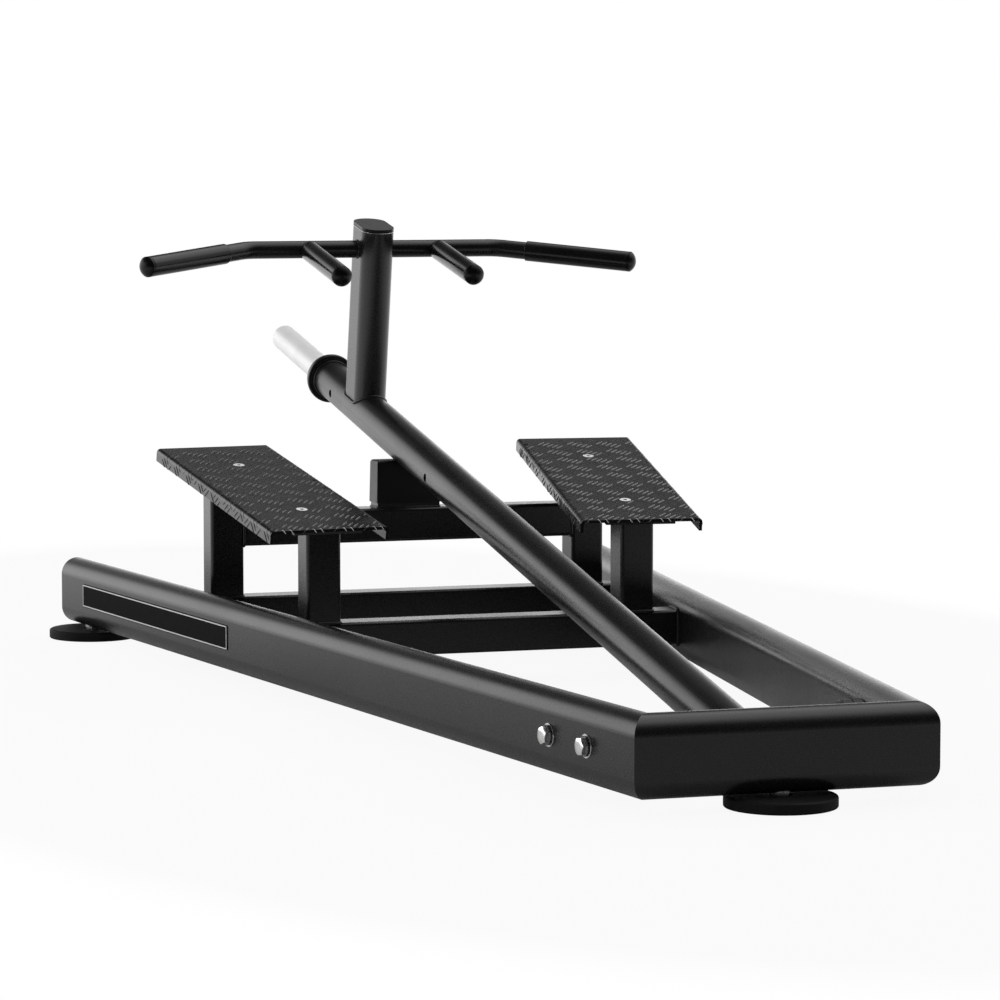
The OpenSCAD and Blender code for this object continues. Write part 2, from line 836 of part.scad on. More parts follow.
// Collar: boss, flange, groove and lip in one turned piece, with a spigot in the lever tube
module lever_collar() {
    spigot_len = 20;
    flange_t = collar_t - collar_boss_t - collar_groove_w - collar_lip_t;
    lip_start = collar_t - collar_lip_t;
    color(coat) placed() lever_frame() translate([0, lever_len, 0]) rotate([-90, 0, 0]) difference() {
        union() {
            rotate_extrude() {
                square([collar_boss_d / 2, collar_boss_t + over]);
                translate([0, collar_boss_t]) soft_disc_section(collar_d, flange_t, collar_r);
                translate([0, collar_boss_t + over])
                    square([collar_groove_d / 2, collar_t - collar_boss_t - 2 * over]);
                translate([0, lip_start]) soft_disc_section(collar_lip_d, collar_lip_t, collar_lip_t / 4);
            }
            translate([0, 0, -spigot_len])
                cylinder(r = lever_d / 2 - lever_wall - seat_gap, h = spigot_len);
        }
        translate([0, 0, -spigot_len - over])
            cylinder(d = sleeve_d - 2 * sleeve_wall, h = spigot_len + collar_t + 2 * over);
    }
}

// Sleeve for weight plates: a tube with a closed, chamfered end
module weight_sleeve() {
    color(steel) placed() lever_frame() translate([0, lever_len + collar_t, 0]) rotate([-90, 0, 0])
        difference() {
            union() {
                cylinder(d = sleeve_d, h = sleeve_len - sleeve_chamfer);
                translate([0, 0, sleeve_len - sleeve_chamfer]) cylinder(
                    d1 = sleeve_d, d2 = sleeve_d - 2 * sleeve_chamfer, h = sleeve_chamfer);
            }
            translate([0, 0, -over])
                cylinder(d = sleeve_d - 2 * sleeve_wall, h = sleeve_len - sleeve_wall + over);
        }
}

// Handle

module handle_post() {
    color(coat) placed() lever_frame() difference() {
        translate([0, handle_s, 0]) linear_extrude(handle_h - handle_cap_t)
            oval_wall(handle_w, handle_l, handle_wall);
        rotate([-90, 0, 0]) cylinder(r = lever_d / 2 + seat_gap, h = lever_len);
        translate([0, handle_s, bar_h]) rotate([0, 90, 0])
            cylinder(r = bar_d / 2 + seat_gap, h = 2 * handle_w, center = true);
    }
}

// Plastic cap: a rim on the post's end and a hollow plug inside it
module handle_post_cap() {
    plug_t = handle_wall + 0.3;
    plug_len = 10;
    color(plastic) placed() lever_frame() translate([0, handle_s, handle_h - handle_cap_t]) {
        linear_extrude(handle_cap_t)
            flat_oval(handle_w - 2 * handle_cap_groove, handle_l - 2 * handle_cap_groove);
        translate([0, 0, handle_cap_groove])
            linear_extrude(handle_cap_t - handle_cap_groove) flat_oval(handle_w, handle_l);
        translate([0, 0, -plug_len]) linear_extrude(plug_len) difference() {
            flat_oval(handle_w - 2 * plug_t, handle_l - 2 * plug_t);
            flat_oval(handle_w - 4 * plug_t, handle_l - 4 * plug_t);
        }
    }
}

// Wall of the handlebar tube; swell makes it thicker by that much on both faces
module bar_wall_ring(swell) {
    difference() {
        circle(d = bar_d + 2 * swell);
        circle(d = bar_d - 2 * bar_wall - 2 * swell);
    }
}

// Bend and outer arm of the handlebar's right half
module bar_bend_and_arm() {
    translate([bend_x - bend_tangent, -bend_r, 0]) rotate([0, 0, 90 - bend_angle - bend_lap])
        rotate_extrude(angle = bend_angle + 2 * bend_lap)
            translate([bend_r, 0]) bar_wall_ring(bend_swell);
    translate([bend_x, 0, 0]) rotate([0, 0, -bend_angle]) rotate([0, 90, 0])
        translate([0, 0, bend_tangent]) linear_extrude(arm_len - bend_tangent) bar_wall_ring(0);
}

module handlebar() {
    color(coat) placed() bar_frame() {
        rotate([0, 90, 0])
            linear_extrude(2 * (bend_x - bend_tangent), center = true) bar_wall_ring(0);
        both_sides() bar_bend_and_arm();
    }
}

module side_bar() {
    side_frame() difference() {
        cylinder(d = side_d, h = side_len);
        translate([0, 0, -over]) cylinder(d = side_d - 2 * bar_wall, h = side_len + 2 * over);
        rotate([0, 90, 0]) cylinder(r = bar_d / 2 + seat_gap, h = 4 * bar_d, center = true);
    }
}

module left_side_bar() { color(coat) placed() mirror([1, 0, 0]) side_bar(); }

module right_side_bar() { color(coat) placed() side_bar(); }

// Rubber sleeve with rounded ends, from z = 0 along +Z
module grip(bore_d, length) {
    wall = (grip_d - bore_d) / 2 - seat_gap;
    edge = min(grip_edge_r, 0.6 * wall);
    rotate_extrude() translate([bore_d / 2 + seat_gap, 0]) {
        square([wall - edge, length]);
        translate([0, edge]) square([wall, length - 2 * edge]);
        for (z = [edge, length - edge]) translate([wall - edge, z]) circle(r = edge);
    }
}

module outer_grip() {
    arm_frame() translate([0, 0, arm_len - outer_grip_len]) grip(bar_d, outer_grip_len);
}

module side_grip() {
    side_frame() translate([0, 0, side_start]) grip(side_d, side_len - side_start);
}

module left_outer_grip() { color(rubber) placed() mirror([1, 0, 0]) outer_grip(); }

module right_outer_grip() { color(rubber) placed() outer_grip(); }

module left_side_grip() { color(rubber) placed() mirror([1, 0, 0]) side_grip(); }

module right_side_grip() { color(rubber) placed() side_grip(); }

// End cap: a domed head on the end of the grip and a plug in the tube
module grip_cap(bore_d) {
    r = grip_d / 2;
    dome_r = (r * r + tip_dome * tip_dome) / (2 * tip_dome);
    cylinder(r = r, h = tip_rim);
    translate([0, 0, tip_rim]) rotate_extrude() intersection() {
        translate([0, tip_dome - dome_r]) circle(r = dome_r);
        square([r, tip_dome + over]);
    }
    translate([0, 0, -tip_plug]) cylinder(r = bore_d / 2 - seat_gap, h = tip_plug);
}

module outer_grip_cap() { arm_frame() translate([0, 0, arm_len]) grip_cap(bar_d - 2 * bar_wall); }

module side_grip_cap() { side_frame() translate([0, 0, side_len]) grip_cap(side_d - 2 * bar_wall); }

module left_outer_grip_cap() { color(plastic) placed() mirror([1, 0, 0]) outer_grip_cap(); }

module right_outer_grip_cap() { color(plastic) placed() outer_grip_cap(); }

module left_side_grip_cap() { color(plastic) placed() mirror([1, 0, 0]) side_grip_cap(); }

module right_side_grip_cap() { color(plastic) placed() side_grip_cap(); }

// Feet

module at_front_foot() {
    translate([0, rail_w / 2, 0]) children();
}

module at_right_foot() {
    rail_frame() translate([-rail_w / 2, rear_foot_s, 0]) children();
}

module at_all_feet() {
    at_front_foot() children();
    both_sides() at_right_foot() children();
}

module foot_bushes() {
    color(zinc) placed() at_all_feet() translate([0, 0, frame_z]) difference() {
        cylinder(d = bush_d, h = bush_len);
        translate([0, 0, -over]) cylinder(r = stud_d / 2 + run_gap, h = bush_len + 2 * over);
    }
}

module foot_lock_nuts() {
    color(zinc) placed() at_all_feet() translate([0, 0, frame_z - lock_nut_t]) difference() {
        hexagon(lock_nut_d, lock_nut_t);
        translate([0, 0, -over]) cylinder(r = stud_d / 2 + run_gap, h = lock_nut_t + 2 * over);
    }
}

// Half section of a foot pad: small radius at the floor, large radius at the top
module pad_section() {
    r = foot_d / 2;
    square([r - foot_top_r, foot_h]);
    square([r - foot_bottom_r, foot_h - foot_top_r]);
    translate([0, foot_bottom_r]) square([r, foot_h - foot_top_r - foot_bottom_r]);
    translate([r - foot_bottom_r, foot_bottom_r]) circle(r = foot_bottom_r);
    translate([r - foot_top_r, foot_h - foot_top_r]) intersection() {
        circle(r = foot_top_r);
        square(foot_top_r);
    }
}

module foot_pad() {
    difference() {
        rotate_extrude() pad_section();
        translate([0, 0, nut_well_z]) cylinder(d = nut_well_d, h = foot_h);
        translate([0, 0, stud_foot_z]) cylinder(r = stud_d / 2 + seat_gap, h = foot_h);
        translate([0, 0, stud_foot_z - seat_gap])
            cylinder(r = stud_flange_d / 2 + seat_gap, h = stud_flange_t + 2 * seat_gap);
    }
}

module front_foot_pad() { color(rubber) placed() at_front_foot() foot_pad(); }

module rear_left_foot_pad() { color(rubber) placed() mirror([1, 0, 0]) at_right_foot() foot_pad(); }

module rear_right_foot_pad() { color(rubber) placed() at_right_foot() foot_pad(); }

// Stud with the flange that is moulded into the pad
module foot_stud() {
    translate([0, 0, stud_foot_z]) cylinder(d = stud_flange_d, h = stud_flange_t);
    translate([0, 0, stud_foot_z]) cylinder(d = stud_d, h = frame_z + stud_reach - stud_foot_z);
}

module front_foot_stud() { color(zinc) placed() at_front_foot() foot_stud(); }

module rear_left_foot_stud() { color(zinc) placed() mirror([1, 0, 0]) at_right_foot() foot_stud(); }

module rear_right_foot_stud() { color(zinc) placed() at_right_foot() foot_stud(); }

left_rail();
right_rail();
front_beam();
left_rail_cap();
right_rail_cap();
name_plate();
front_cross_member();
rear_cross_member();
upper_beam();
front_left_post();
front_right_post();
rear_left_post();
rear_right_post();
front_left_head_plate();
front_right_head_plate();
rear_left_head_plate();
rear_right_head_plate();
left_tread_plate();
right_tread_plate();
tread_screws();
stop_base();
stop_block();
left_bearing_housing();
right_bearing_housing();
left_bearing_outer_ring();
right_bearing_outer_ring();
bearing_balls();
left_bearing_inner_ring();
right_bearing_inner_ring();
housing_bolts();
housing_washers();
housing_nuts();
pivot_shaft();
pivot_hub();
lever_tube();
lever_collar();
weight_sleeve();
handle_post();
handle_post_cap();
handlebar();
left_side_bar();
right_side_bar();
left_outer_grip();
right_outer_grip();
left_side_grip();
right_side_grip();
left_outer_grip_cap();
right_outer_grip_cap();
left_side_grip_cap();
right_side_grip_cap();
foot_bushes();
foot_lock_nuts();
front_foot_pad();
rear_left_foot_pad();
rear_right_foot_pad();
front_foot_stud();
rear_left_foot_stud();
rear_right_foot_stud();
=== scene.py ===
"""Looks of the t-bar row machine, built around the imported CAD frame."""

import json
import math

import bpy
from mathutils import Matrix, Vector


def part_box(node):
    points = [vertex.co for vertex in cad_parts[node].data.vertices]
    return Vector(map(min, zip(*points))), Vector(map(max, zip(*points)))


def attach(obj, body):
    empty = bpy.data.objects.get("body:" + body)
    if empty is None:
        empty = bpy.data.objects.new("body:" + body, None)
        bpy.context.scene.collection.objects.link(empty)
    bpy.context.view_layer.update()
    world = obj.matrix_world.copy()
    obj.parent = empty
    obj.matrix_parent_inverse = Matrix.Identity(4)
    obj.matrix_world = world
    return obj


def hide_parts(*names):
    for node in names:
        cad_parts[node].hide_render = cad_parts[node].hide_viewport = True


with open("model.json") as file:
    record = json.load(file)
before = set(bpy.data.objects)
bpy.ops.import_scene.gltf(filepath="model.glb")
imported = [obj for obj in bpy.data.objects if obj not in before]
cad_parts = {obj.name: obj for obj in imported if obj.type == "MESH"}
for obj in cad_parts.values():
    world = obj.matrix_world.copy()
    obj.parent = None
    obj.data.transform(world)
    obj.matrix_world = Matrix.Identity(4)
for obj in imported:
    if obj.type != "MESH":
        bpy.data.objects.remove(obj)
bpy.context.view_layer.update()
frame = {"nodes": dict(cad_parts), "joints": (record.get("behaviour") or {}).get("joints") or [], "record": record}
nodes = frame["nodes"]

# Sizes of the machine that the pieces sit on, in metres and radians, as in part.scad
RAIL_W = 0.060
RAIL_MID = 0.080
SPLAY = math.radians(7.7)
BOX = 0.060
BOX_R = 0.006
HEAD_PLATE_T = 0.006
TREAD_W = 0.213
TREAD_LEN = 0.5575
TREAD_FLANGE = 0.022
TREAD_BEND = 0.007
TREAD_T = 0.005
TREAD_SPLAY = math.radians(6.65)
TREAD_PITCH = math.radians(10.2)
TREAD_MID = Vector((0.308, 1.630, 0.3215))
TREAD_SCREWS = (-0.150, 0.150)
SOCKET_R = 0.0042
LEVER_REST = math.radians(10.2)
LEVER_R = 0.035
LEVER_LEN = 2.145
POST_S = 1.920
POST_W = 0.060
POST_LEN = 0.110
BAR_UP = 0.301
CAP_UP = 0.3401
CAP_TOP = 0.0068
BAR_R = 0.016
SIDE_X = 0.123
SIDE_R = 0.015
HUB_R = 0.025
EAR_SEAT = 0.012
BEARING_OFF = 0.020
BOLT_R = 0.008
BOLT_GAP = 0.118
PLATE_START = 1.481
PLATE_LEN = 0.706
PLATE_H = 0.042
PLATE_T = 0.0015
PLATE_MID = 0.082

FRONT_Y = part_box("front_beam")[0].y
FRONT_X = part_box("front_beam")[1].x
PIVOT = Vector([j for j in frame["joints"] if j["name"] == "lever_pivot"][0]["pos_m"])
SIDES = {"left": -1, "right": 1}

# Frames of reference


def turn(angle, axis):
    return Matrix.Rotation(angle, 4, axis)


def shift(x, y, z):
    return Matrix.Translation((x, y, z))


def flip(side):
    """Mirror image for the left side."""
    return Matrix.Diagonal((side, 1, 1, 1))


def rail_frame(side):
    """Origin at the front outer corner on the floor, +Y along the rail, +X outwards."""
    return flip(side) @ shift(FRONT_X, FRONT_Y, 0) @ turn(-SPLAY, "Z")


def tread_frame(side):
    """Origin in the middle of the tread surface, +Y along the plate."""
    place = shift(TREAD_MID.x, FRONT_Y + TREAD_MID.y, TREAD_MID.z)
    return flip(side) @ place @ turn(-TREAD_SPLAY, "Z") @ turn(TREAD_PITCH, "X")


def lever_frame():
    """Origin on the hinge axis, +Y along the lever."""
    return Matrix.Translation(PIVOT) @ turn(LEVER_REST, "X")


# Meshes


def moved(part, place):
    verts, faces = part
    if place.determinant() < 0:
        faces = [tuple(reversed(f)) for f in faces]
    return [place @ Vector(v) for v in verts], faces


def joined(parts):
    """One list of vertices and faces from several."""
    verts, faces = [], []
    for v, f in parts:
        base = len(verts)
        verts += [Vector(p) for p in v]
        faces += [tuple(i + base for i in face) for face in f]
    return verts, faces


def piece(name, part, material, body, place=None, sharp=35):
    """A mesh in the row frame that rides on a body and takes the given material."""
    verts, faces = moved(part, place or Matrix.Identity(4))
    mesh = bpy.data.meshes.new(name)
    mesh.from_pydata(verts, [], faces)
    mesh.polygons.foreach_set("use_smooth", [True] * len(mesh.polygons))
    mesh.set_sharp_from_angle(angle=math.radians(sharp))
    mesh.materials.append(material)
    obj = bpy.data.objects.new(name, mesh)
    bpy.context.scene.collection.objects.link(obj)
    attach(obj, body)
    return obj


def grid_faces(rows, cols):
    """Faces of a sheet of vertices with cols + 1 in each row."""
    faces = []
    for i in range(rows):
        for j in range(cols):
            a = i * (cols + 1) + j
            b = a + cols + 1
            faces.append((a, b, b + 1, a + 1))
    return faces


def circle(r, n=48):
    """Points of a circle, as (a, b) pairs."""
    angles = [2 * math.pi * i / n for i in range(n)]
    return [(r * math.cos(t), r * math.sin(t)) for t in angles]


def rounded_square(half, r, n=5):
    """Outline of a square with round corners, as (a, b) pairs."""
    out = []
    for qx, qy, start in ((1, 1, 0), (-1, 1, 90), (-1, -1, 180), (1, -1, 270)):
        for i in range(n + 1):
            t = math.radians(start + 90 * i / n)
            out.append((qx * (half - r) + r * math.cos(t), qy * (half - r) + r * math.sin(t)))
    return out


def stadium(w, h, n=20):
    """Flat oval outline, w wide in the first direction and h long in the second."""
    out = []
    for end in (1, -1):
        for i in range(n + 1):
            t = math.pi * i / n + (0 if end > 0 else math.pi)
            out.append((w / 2 * math.cos(t), end * (h - w) / 2 + w / 2 * math.sin(t)))
    return out


def lathe(profile, steps=48):
    """Closed turned shape about +Z from (radius, height) pairs, from the bottom up."""
    verts, faces, rows = [], [], []
    for r, z in profile:
        if r < 1e-7:
            rows.append([len(verts)])
            verts.append(Vector((0, 0, z)))
        else:
            rows.append([len(verts) + i for i in range(steps)])
            verts += [Vector((a, b, z)) for a, b in circle(r, steps)]
    for low, high in zip(rows, rows[1:]):
        for i in range(steps):
            j = (i + 1) % steps
            if len(low) == 1:
                faces.append((low[0], high[j], high[i]))
            elif len(high) == 1:
                faces.append((low[i], low[j], high[0]))
            else:
                faces.append((low[i], low[j], high[j], high[i]))
    return verts, faces


def sweep(points, section, swell):
    """Closed tube along points; section is a ring of (side, up) pairs, swell scales it at each point."""
    count = len(points)
    verts, faces = [], []
    up_hint = None
    for i, p in enumerate(points):
        ahead = (points[(i + 1) % count] - points[i - 1]).normalized()
        if up_hint is None:
            up_hint = Vector((0, 0, 1)) if abs(ahead.z) < 0.9 else Vector((1, 0, 0))
        side = ahead.cross(up_hint).normalized()
        up = side.cross(ahead).normalized()
        up_hint = up
        k = swell(i)
        verts += [p + side * (a * k) + up * (b * k) for a, b in section]
    n = len(section)
    for i in range(count):
        for j in range(n):
            a, b = i * n + j, i * n + (j + 1) % n
            c, d = ((i + 1) % count) * n + (j + 1) % n, ((i + 1) % count) * n + j
            faces.append((a, d, c, b))
    return verts, faces


def resampled(points, step):
    """The same closed line with points a step apart."""
    line = list(points) + [points[0]]
    lengths = [0.0]
    for a, b in zip(line, line[1:]):
        lengths.append(lengths[-1] + (b - a).length)
    count = max(6, round(lengths[-1] / step))
    out, k = [], 0
    for i in range(count):
        s = lengths[-1] * i / count
        while k < len(lengths) - 2 and lengths[k + 1] < s:
            k += 1
        span = lengths[k + 1] - lengths[k]
        t = (s - lengths[k]) / span if span else 0
        out.append(line[k].lerp(line[k + 1], t))
    return out


BEAD_STEP = 0.0011
BEAD_SIDES = 8


def bead(points, r):
    """Weld bead with the ripples of its passes."""
    def swell(i):
        ripple = 0.10 * abs(math.sin(i * math.pi / 3.4)) + 0.05 * math.sin(i * 0.173 + 1.1)
        return 0.92 + ripple
    return sweep(resampled(points, BEAD_STEP), circle(r, BEAD_SIDES), swell)


# Materials


def is_socket(value):
    return isinstance(value, bpy.types.NodeSocket)


class Nodes:
    """Shorthand for building the node tree of a material or a world."""

    def __init__(self, owner, output, coordinates):
        owner.use_nodes = True
        self.owner = owner
        self.tree = owner.node_tree
        self.tree.nodes.clear()
        self.out = self.add(output)
        self.coord = self.add("ShaderNodeTexCoord").outputs[coordinates]

    def add(self, kind, **values):
        node = self.tree.nodes.new(kind)
        for key, value in values.items():
            setattr(node, key, value)
        return node

    def feed(self, value, socket):
        """Links a socket, or sets a constant on the input itself."""
        if is_socket(value):
            self.tree.links.new(value, socket)
        elif isinstance(value, tuple) and socket.type == "RGBA":
            socket.default_value = (*value, 1.0)
        else:
            socket.default_value = value

    def noise(self, scale, detail, rough=0.5, stretch=None):
        node = self.add("ShaderNodeTexNoise")
        for key, v in (("Scale", scale), ("Detail", detail), ("Roughness", rough)):
            self.feed(v, node.inputs[key])
        source = self.coord
        if stretch:
            mapping = self.add("ShaderNodeMapping")
            self.feed(stretch, mapping.inputs["Scale"])
            self.feed(self.coord, mapping.inputs["Vector"])
            source = mapping.outputs["Vector"]
        self.feed(source, node.inputs["Vector"])
        return node.outputs["Fac"]

    def span(self, value, low, high, to_low, to_high, kind="LINEAR"):
        """Carries one range over to another; kind SMOOTHSTEP eases in and out."""
        node = self.add("ShaderNodeMapRange", interpolation_type=kind)
        for key, v in (("From Min", low), ("From Max", high), ("To Min", to_low),
                       ("To Max", to_high), ("Value", value)):
            self.feed(v, node.inputs[key])
        return node.outputs["Result"]

    def math(self, operation, a, b):
        node = self.add("ShaderNodeMath", operation=operation)
        self.feed(a, node.inputs[0])
        self.feed(b, node.inputs[1])
        return node.outputs["Value"]

    def mix(self, factor, a, b):
        """Colour between a and b."""
        node = self.add("ShaderNodeMix", data_type="RGBA")
        colors = {s.name: s for s in node.inputs if s.type == "RGBA"}
        self.feed(factor, node.inputs["Factor"])
        self.feed(a, colors["A"])
        self.feed(b, colors["B"])
        return [s for s in node.outputs if s.type == "RGBA"][0]

    def edges(self, radius):
        """1 at edges, which the coat lightens for wear and as a painted highlight; 0 on flat faces."""
        bevel = self.add("ShaderNodeBevel", samples=4)
        bevel.inputs["Radius"].default_value = radius
        dot = self.add("ShaderNodeVectorMath", operation="DOT_PRODUCT")
        self.feed(bevel.outputs["Normal"], dot.inputs[0])
        self.feed(self.add("ShaderNodeNewGeometry").outputs["Normal"], dot.inputs[1])
        return self.span(dot.outputs["Value"], 0.995, 0.80, 0.0, 1.0)

    def bump(self, height, strength, distance, before=None):
        node = self.add("ShaderNodeBump")
        for key, v in (("Strength", strength), ("Distance", distance), ("Height", height)):
            self.feed(v, node.inputs[key])
        if before:
            self.feed(before, node.inputs["Normal"])
        return node.outputs["Normal"]

    def shader(self, kind, **inputs):
        """Shader whose inputs are named in words joined by _."""
        node = self.add(kind)
        for key, v in inputs.items():
            self.feed(v, node.inputs[key.replace("_", " ")])
        return node.outputs[0]

    def blend(self, share, a, b):
        """Shader a, or b where share is 1."""
        node = self.add("ShaderNodeMixShader")
        for i, v in enumerate((share, a, b)):
            self.feed(v, node.inputs[i])
        return node.outputs[0]

    def finish(self, shader):
        self.feed(shader, self.out.inputs["Surface"])
        return self.owner

    def ray_share(self, camera_share, mirror_share):
        """One share for camera rays, another for mirrored ones, 0 for diffuse light."""
        path = self.add("ShaderNodeLightPath").outputs
        mirrored = self.math("MAXIMUM", path["Is Glossy Ray"], path["Is Transmission Ray"])
        seen = self.math("MULTIPLY", path["Is Camera Ray"], camera_share)
        return self.math("ADD", seen, self.math("MULTIPLY", mirrored, mirror_share))


def new_material(name):
    return Nodes(bpy.data.materials.new(name), "ShaderNodeOutputMaterial", "Object")


def tinted(base, factor, lift=0.0):
    return tuple(factor * c + lift for c in base)


def powder_coat(name, base, rough, spec, grain):
    """Fine textured powder coat: grain, orange peel, dust in soft patches, and edges lightened partly as rubbed
    wear and partly as a painted highlight.
    """
    n = new_material(name)
    patches = n.noise(3.5, 4.0, 0.55)
    fine = n.noise(560.0, 2.0, 0.6)
    peel = n.noise(150.0, 2.0)
    color = n.mix(n.span(patches, 0.35, 0.68, 0.0, 1.0), tinted(base, 0.80), tinted(base, 1.20))
    color = n.mix(n.span(fine, 0.58, 0.74, 0.0, 0.35), color, tinted(base, 1.8, 0.003))
    chips_and_edge_highlight = n.span(n.noise(55.0, 3.0, 0.6), 0.46, 0.70, 0.0, 0.55)
    # Lighter edges: partly rubbed wear, partly a painted highlight along them
    color = n.mix(n.math("MULTIPLY", n.edges(0.0012), chips_and_edge_highlight), color, tinted(base, 3.0, 0.02))
    roughness = n.math("ADD", n.span(patches, 0.3, 0.7, rough - 0.04, rough + 0.04),
                       n.span(fine, 0.3, 0.7, -0.05, 0.05))
    normal = n.bump(fine, 0.30 * grain, 0.0006)
    normal = n.bump(peel, 0.10 * grain, 0.0012, normal)
    return n.finish(n.shader("ShaderNodeBsdfPrincipled", Base_Color=color, Roughness=roughness,
                             Normal=normal, Specular_IOR_Level=spec))


def rubber(name, base, rough, grain, spec):
    """Matt moulded rubber with fine pores and a dusty bloom."""
    n = new_material(name)
    bloom = n.noise(9.0, 4.0, 0.6)
    pores = n.noise(700.0, 3.0, 0.6)
    color = n.mix(n.span(bloom, 0.35, 0.70, 0.0, 1.0), tinted(base, 0.8), tinted(base, 1.5, 0.003))
    roughness = n.span(bloom, 0.3, 0.7, rough - 0.05, rough + 0.07)
    return n.finish(n.shader("ShaderNodeBsdfPrincipled", Base_Color=color, Roughness=roughness,
                             Normal=n.bump(pores, 0.25, grain), Specular_IOR_Level=spec))


def plastic(name, base, rough, spec):
    """Smooth moulded plastic with a faint wave and hairline scuffs."""
    n = new_material(name)
    wave = n.noise(26.0, 2.0)
    scuff = n.noise(60.0, 4.0, 0.7, stretch=(1.0, 7.0, 1.0))
    color = n.mix(n.span(scuff, 0.60, 0.78, 0.0, 0.5), base, tinted(base, 2.0, 0.01))
    roughness = n.span(scuff, 0.45, 0.75, rough, rough + 0.16)
    return n.finish(n.shader("ShaderNodeBsdfPrincipled", Base_Color=color, Roughness=roughness,
                             Normal=n.bump(wave, 0.06, 0.002), Specular_IOR_Level=spec))


def metal(name, base, rough, brush, stain, metallic):
    """Bare metal with fine lines along one axis and soft stains; kinds with a low metallic share are mostly
    diffuse.
    """
    n = new_material(name)
    lines = n.noise(110.0, 2.0, stretch=brush)
    stains = n.noise(22.0, 4.0, 0.6)
    color = n.mix(n.span(stains, 0.40, 0.72, 0.0, 0.55), base, tinted(base, stain))
    roughness = n.math("ADD", n.span(lines, 0.30, 0.70, rough - 0.05, rough + 0.06),
                       n.span(stains, 0.45, 0.75, 0.0, 0.06))
    return n.finish(n.shader("ShaderNodeBsdfPrincipled", Base_Color=color, Roughness=roughness,
                             Normal=n.bump(lines, 0.012, 0.0004), Metallic=metallic))


# Coats: colour, roughness, specular level, grain
COAT = powder_coat("black_powder_coat", (0.0068, 0.0070, 0.0072), 0.28, 0.42, 0.4)
TREAD_COAT = powder_coat("black_tread_coat", (0.0112, 0.0114, 0.0117), 0.26, 0.50, 0.3)
WELD_COAT = powder_coat("black_weld_coat", (0.0085, 0.0087, 0.0090), 0.33, 0.42, 0.8)
CAST = powder_coat("black_casting_coat", (0.0095, 0.0098, 0.0102), 0.45, 0.38, 2.2)
# Rubbers: colour, roughness, depth of the pores, specular level
RUBBER = rubber("black_grip_rubber", (0.0036, 0.0036, 0.0037), 0.22, 0.0001, 0.34)
PAD_RUBBER = rubber("black_foot_rubber", (0.0060, 0.0060, 0.0061), 0.62, 0.0008, 0.15)
STOP_RUBBER = rubber("black_stop_rubber", (0.0010, 0.0010, 0.0010), 0.40, 0.0006, 0.35)
# Darker rubber for the screw sockets and the plate's cut face: painted shade
SHADE_CUT = rubber("painted_shade_socket", (0.0040, 0.0040, 0.0040), 0.55, 0.0004, 0.10)
# Plastics: colour, roughness, specular level
PLASTIC = plastic("black_cap_plastic", (0.0110, 0.0110, 0.0112), 0.30, 0.50)
TIP_PLASTIC = plastic("black_tip_plastic", (0.0030, 0.0030, 0.0031), 0.28, 0.20)
# Lighter plastic for the top of the handle post's cap: painted light on the face turned up
LIT_TOP_PLASTIC = plastic("cap_top_painted_light", (0.0270, 0.0272, 0.0275), 0.34, 0.50)
PLATE_BLACK = plastic("black_plate_print", (0.0070, 0.0070, 0.0072), 0.60, 0.02)
PLATE_PALE = plastic("pale_plate_border", (0.62, 0.62, 0.62), 0.45, 0.45)
# Metals: colour, roughness, stretch of the lines, darkness of the stains, metallic share
EVEN = (3.0, 3.0, 3.0)
# Chrome sleeve whose mostly white diffuse colour paints in part of the bright studio it reflects
SLEEVE = metal("satin_chrome", (0.90, 0.90, 0.905), 0.40, (9.0, 1.0, 9.0), 0.88, 0.22)
ZINC = metal("bright_zinc", (0.94, 0.94, 0.93), 0.15, EVEN, 0.90, 0.92)
# Dark spring steel: partly the washer's own colour, partly painted shade under the bolt heads
SHADE_SPRING_STEEL = metal("spring_steel_painted_shade", (0.16, 0.16, 0.16), 0.24, EVEN, 0.86, 1.0)
SCREW_ZINC = metal("satin_zinc", (0.95, 0.95, 0.94), 0.36, EVEN, 0.95, 0.12)
# Painted highlights for the tread bars: white glint streaks and spots, and a grey sheen on the crests
GLINT_WHITE = metal("painted_glint_white", (0.95, 0.95, 0.94), 0.42, EVEN, 0.90, 0.20)
CREST_SHEEN = metal("painted_crest_sheen", (0.27, 0.27, 0.27), 0.34, EVEN, 0.70, 0.25)
STEEL = metal("ground_steel", (0.56, 0.57, 0.58), 0.22, (1.0, 9.0, 9.0), 0.86, 1.0)

BY_SLOT = {"black_coat": COAT, "coated_sheet": TREAD_COAT, "rubber": RUBBER, "cap_plastic": PLASTIC,
           "sleeve_steel": SLEEVE, "zinc_steel": ZINC, "bearing_steel": STEEL,
           "cast_housing": CAST, "plate": PLATE_BLACK}
BY_NODE = {"stop_block": STOP_RUBBER, "handle_post_cap": TIP_PLASTIC, "tread_screws": SCREW_ZINC}
BY_ENDING = {"grip_cap": TIP_PLASTIC, "foot_pad": PAD_RUBBER}

# CAD nodes: material, and soft edges on those with pressed or moulded edges

SOFT_EDGES = {"handle_post_cap": 0.0009, "left_rail_cap": 0.0012, "right_rail_cap": 0.0012,
              "stop_block": 0.0022, "stop_base": 0.0008, "name_plate": 0.0003,
              "front_left_head_plate": 0.0007, "front_right_head_plate": 0.0007,
              "rear_left_head_plate": 0.0007, "rear_right_head_plate": 0.0007}


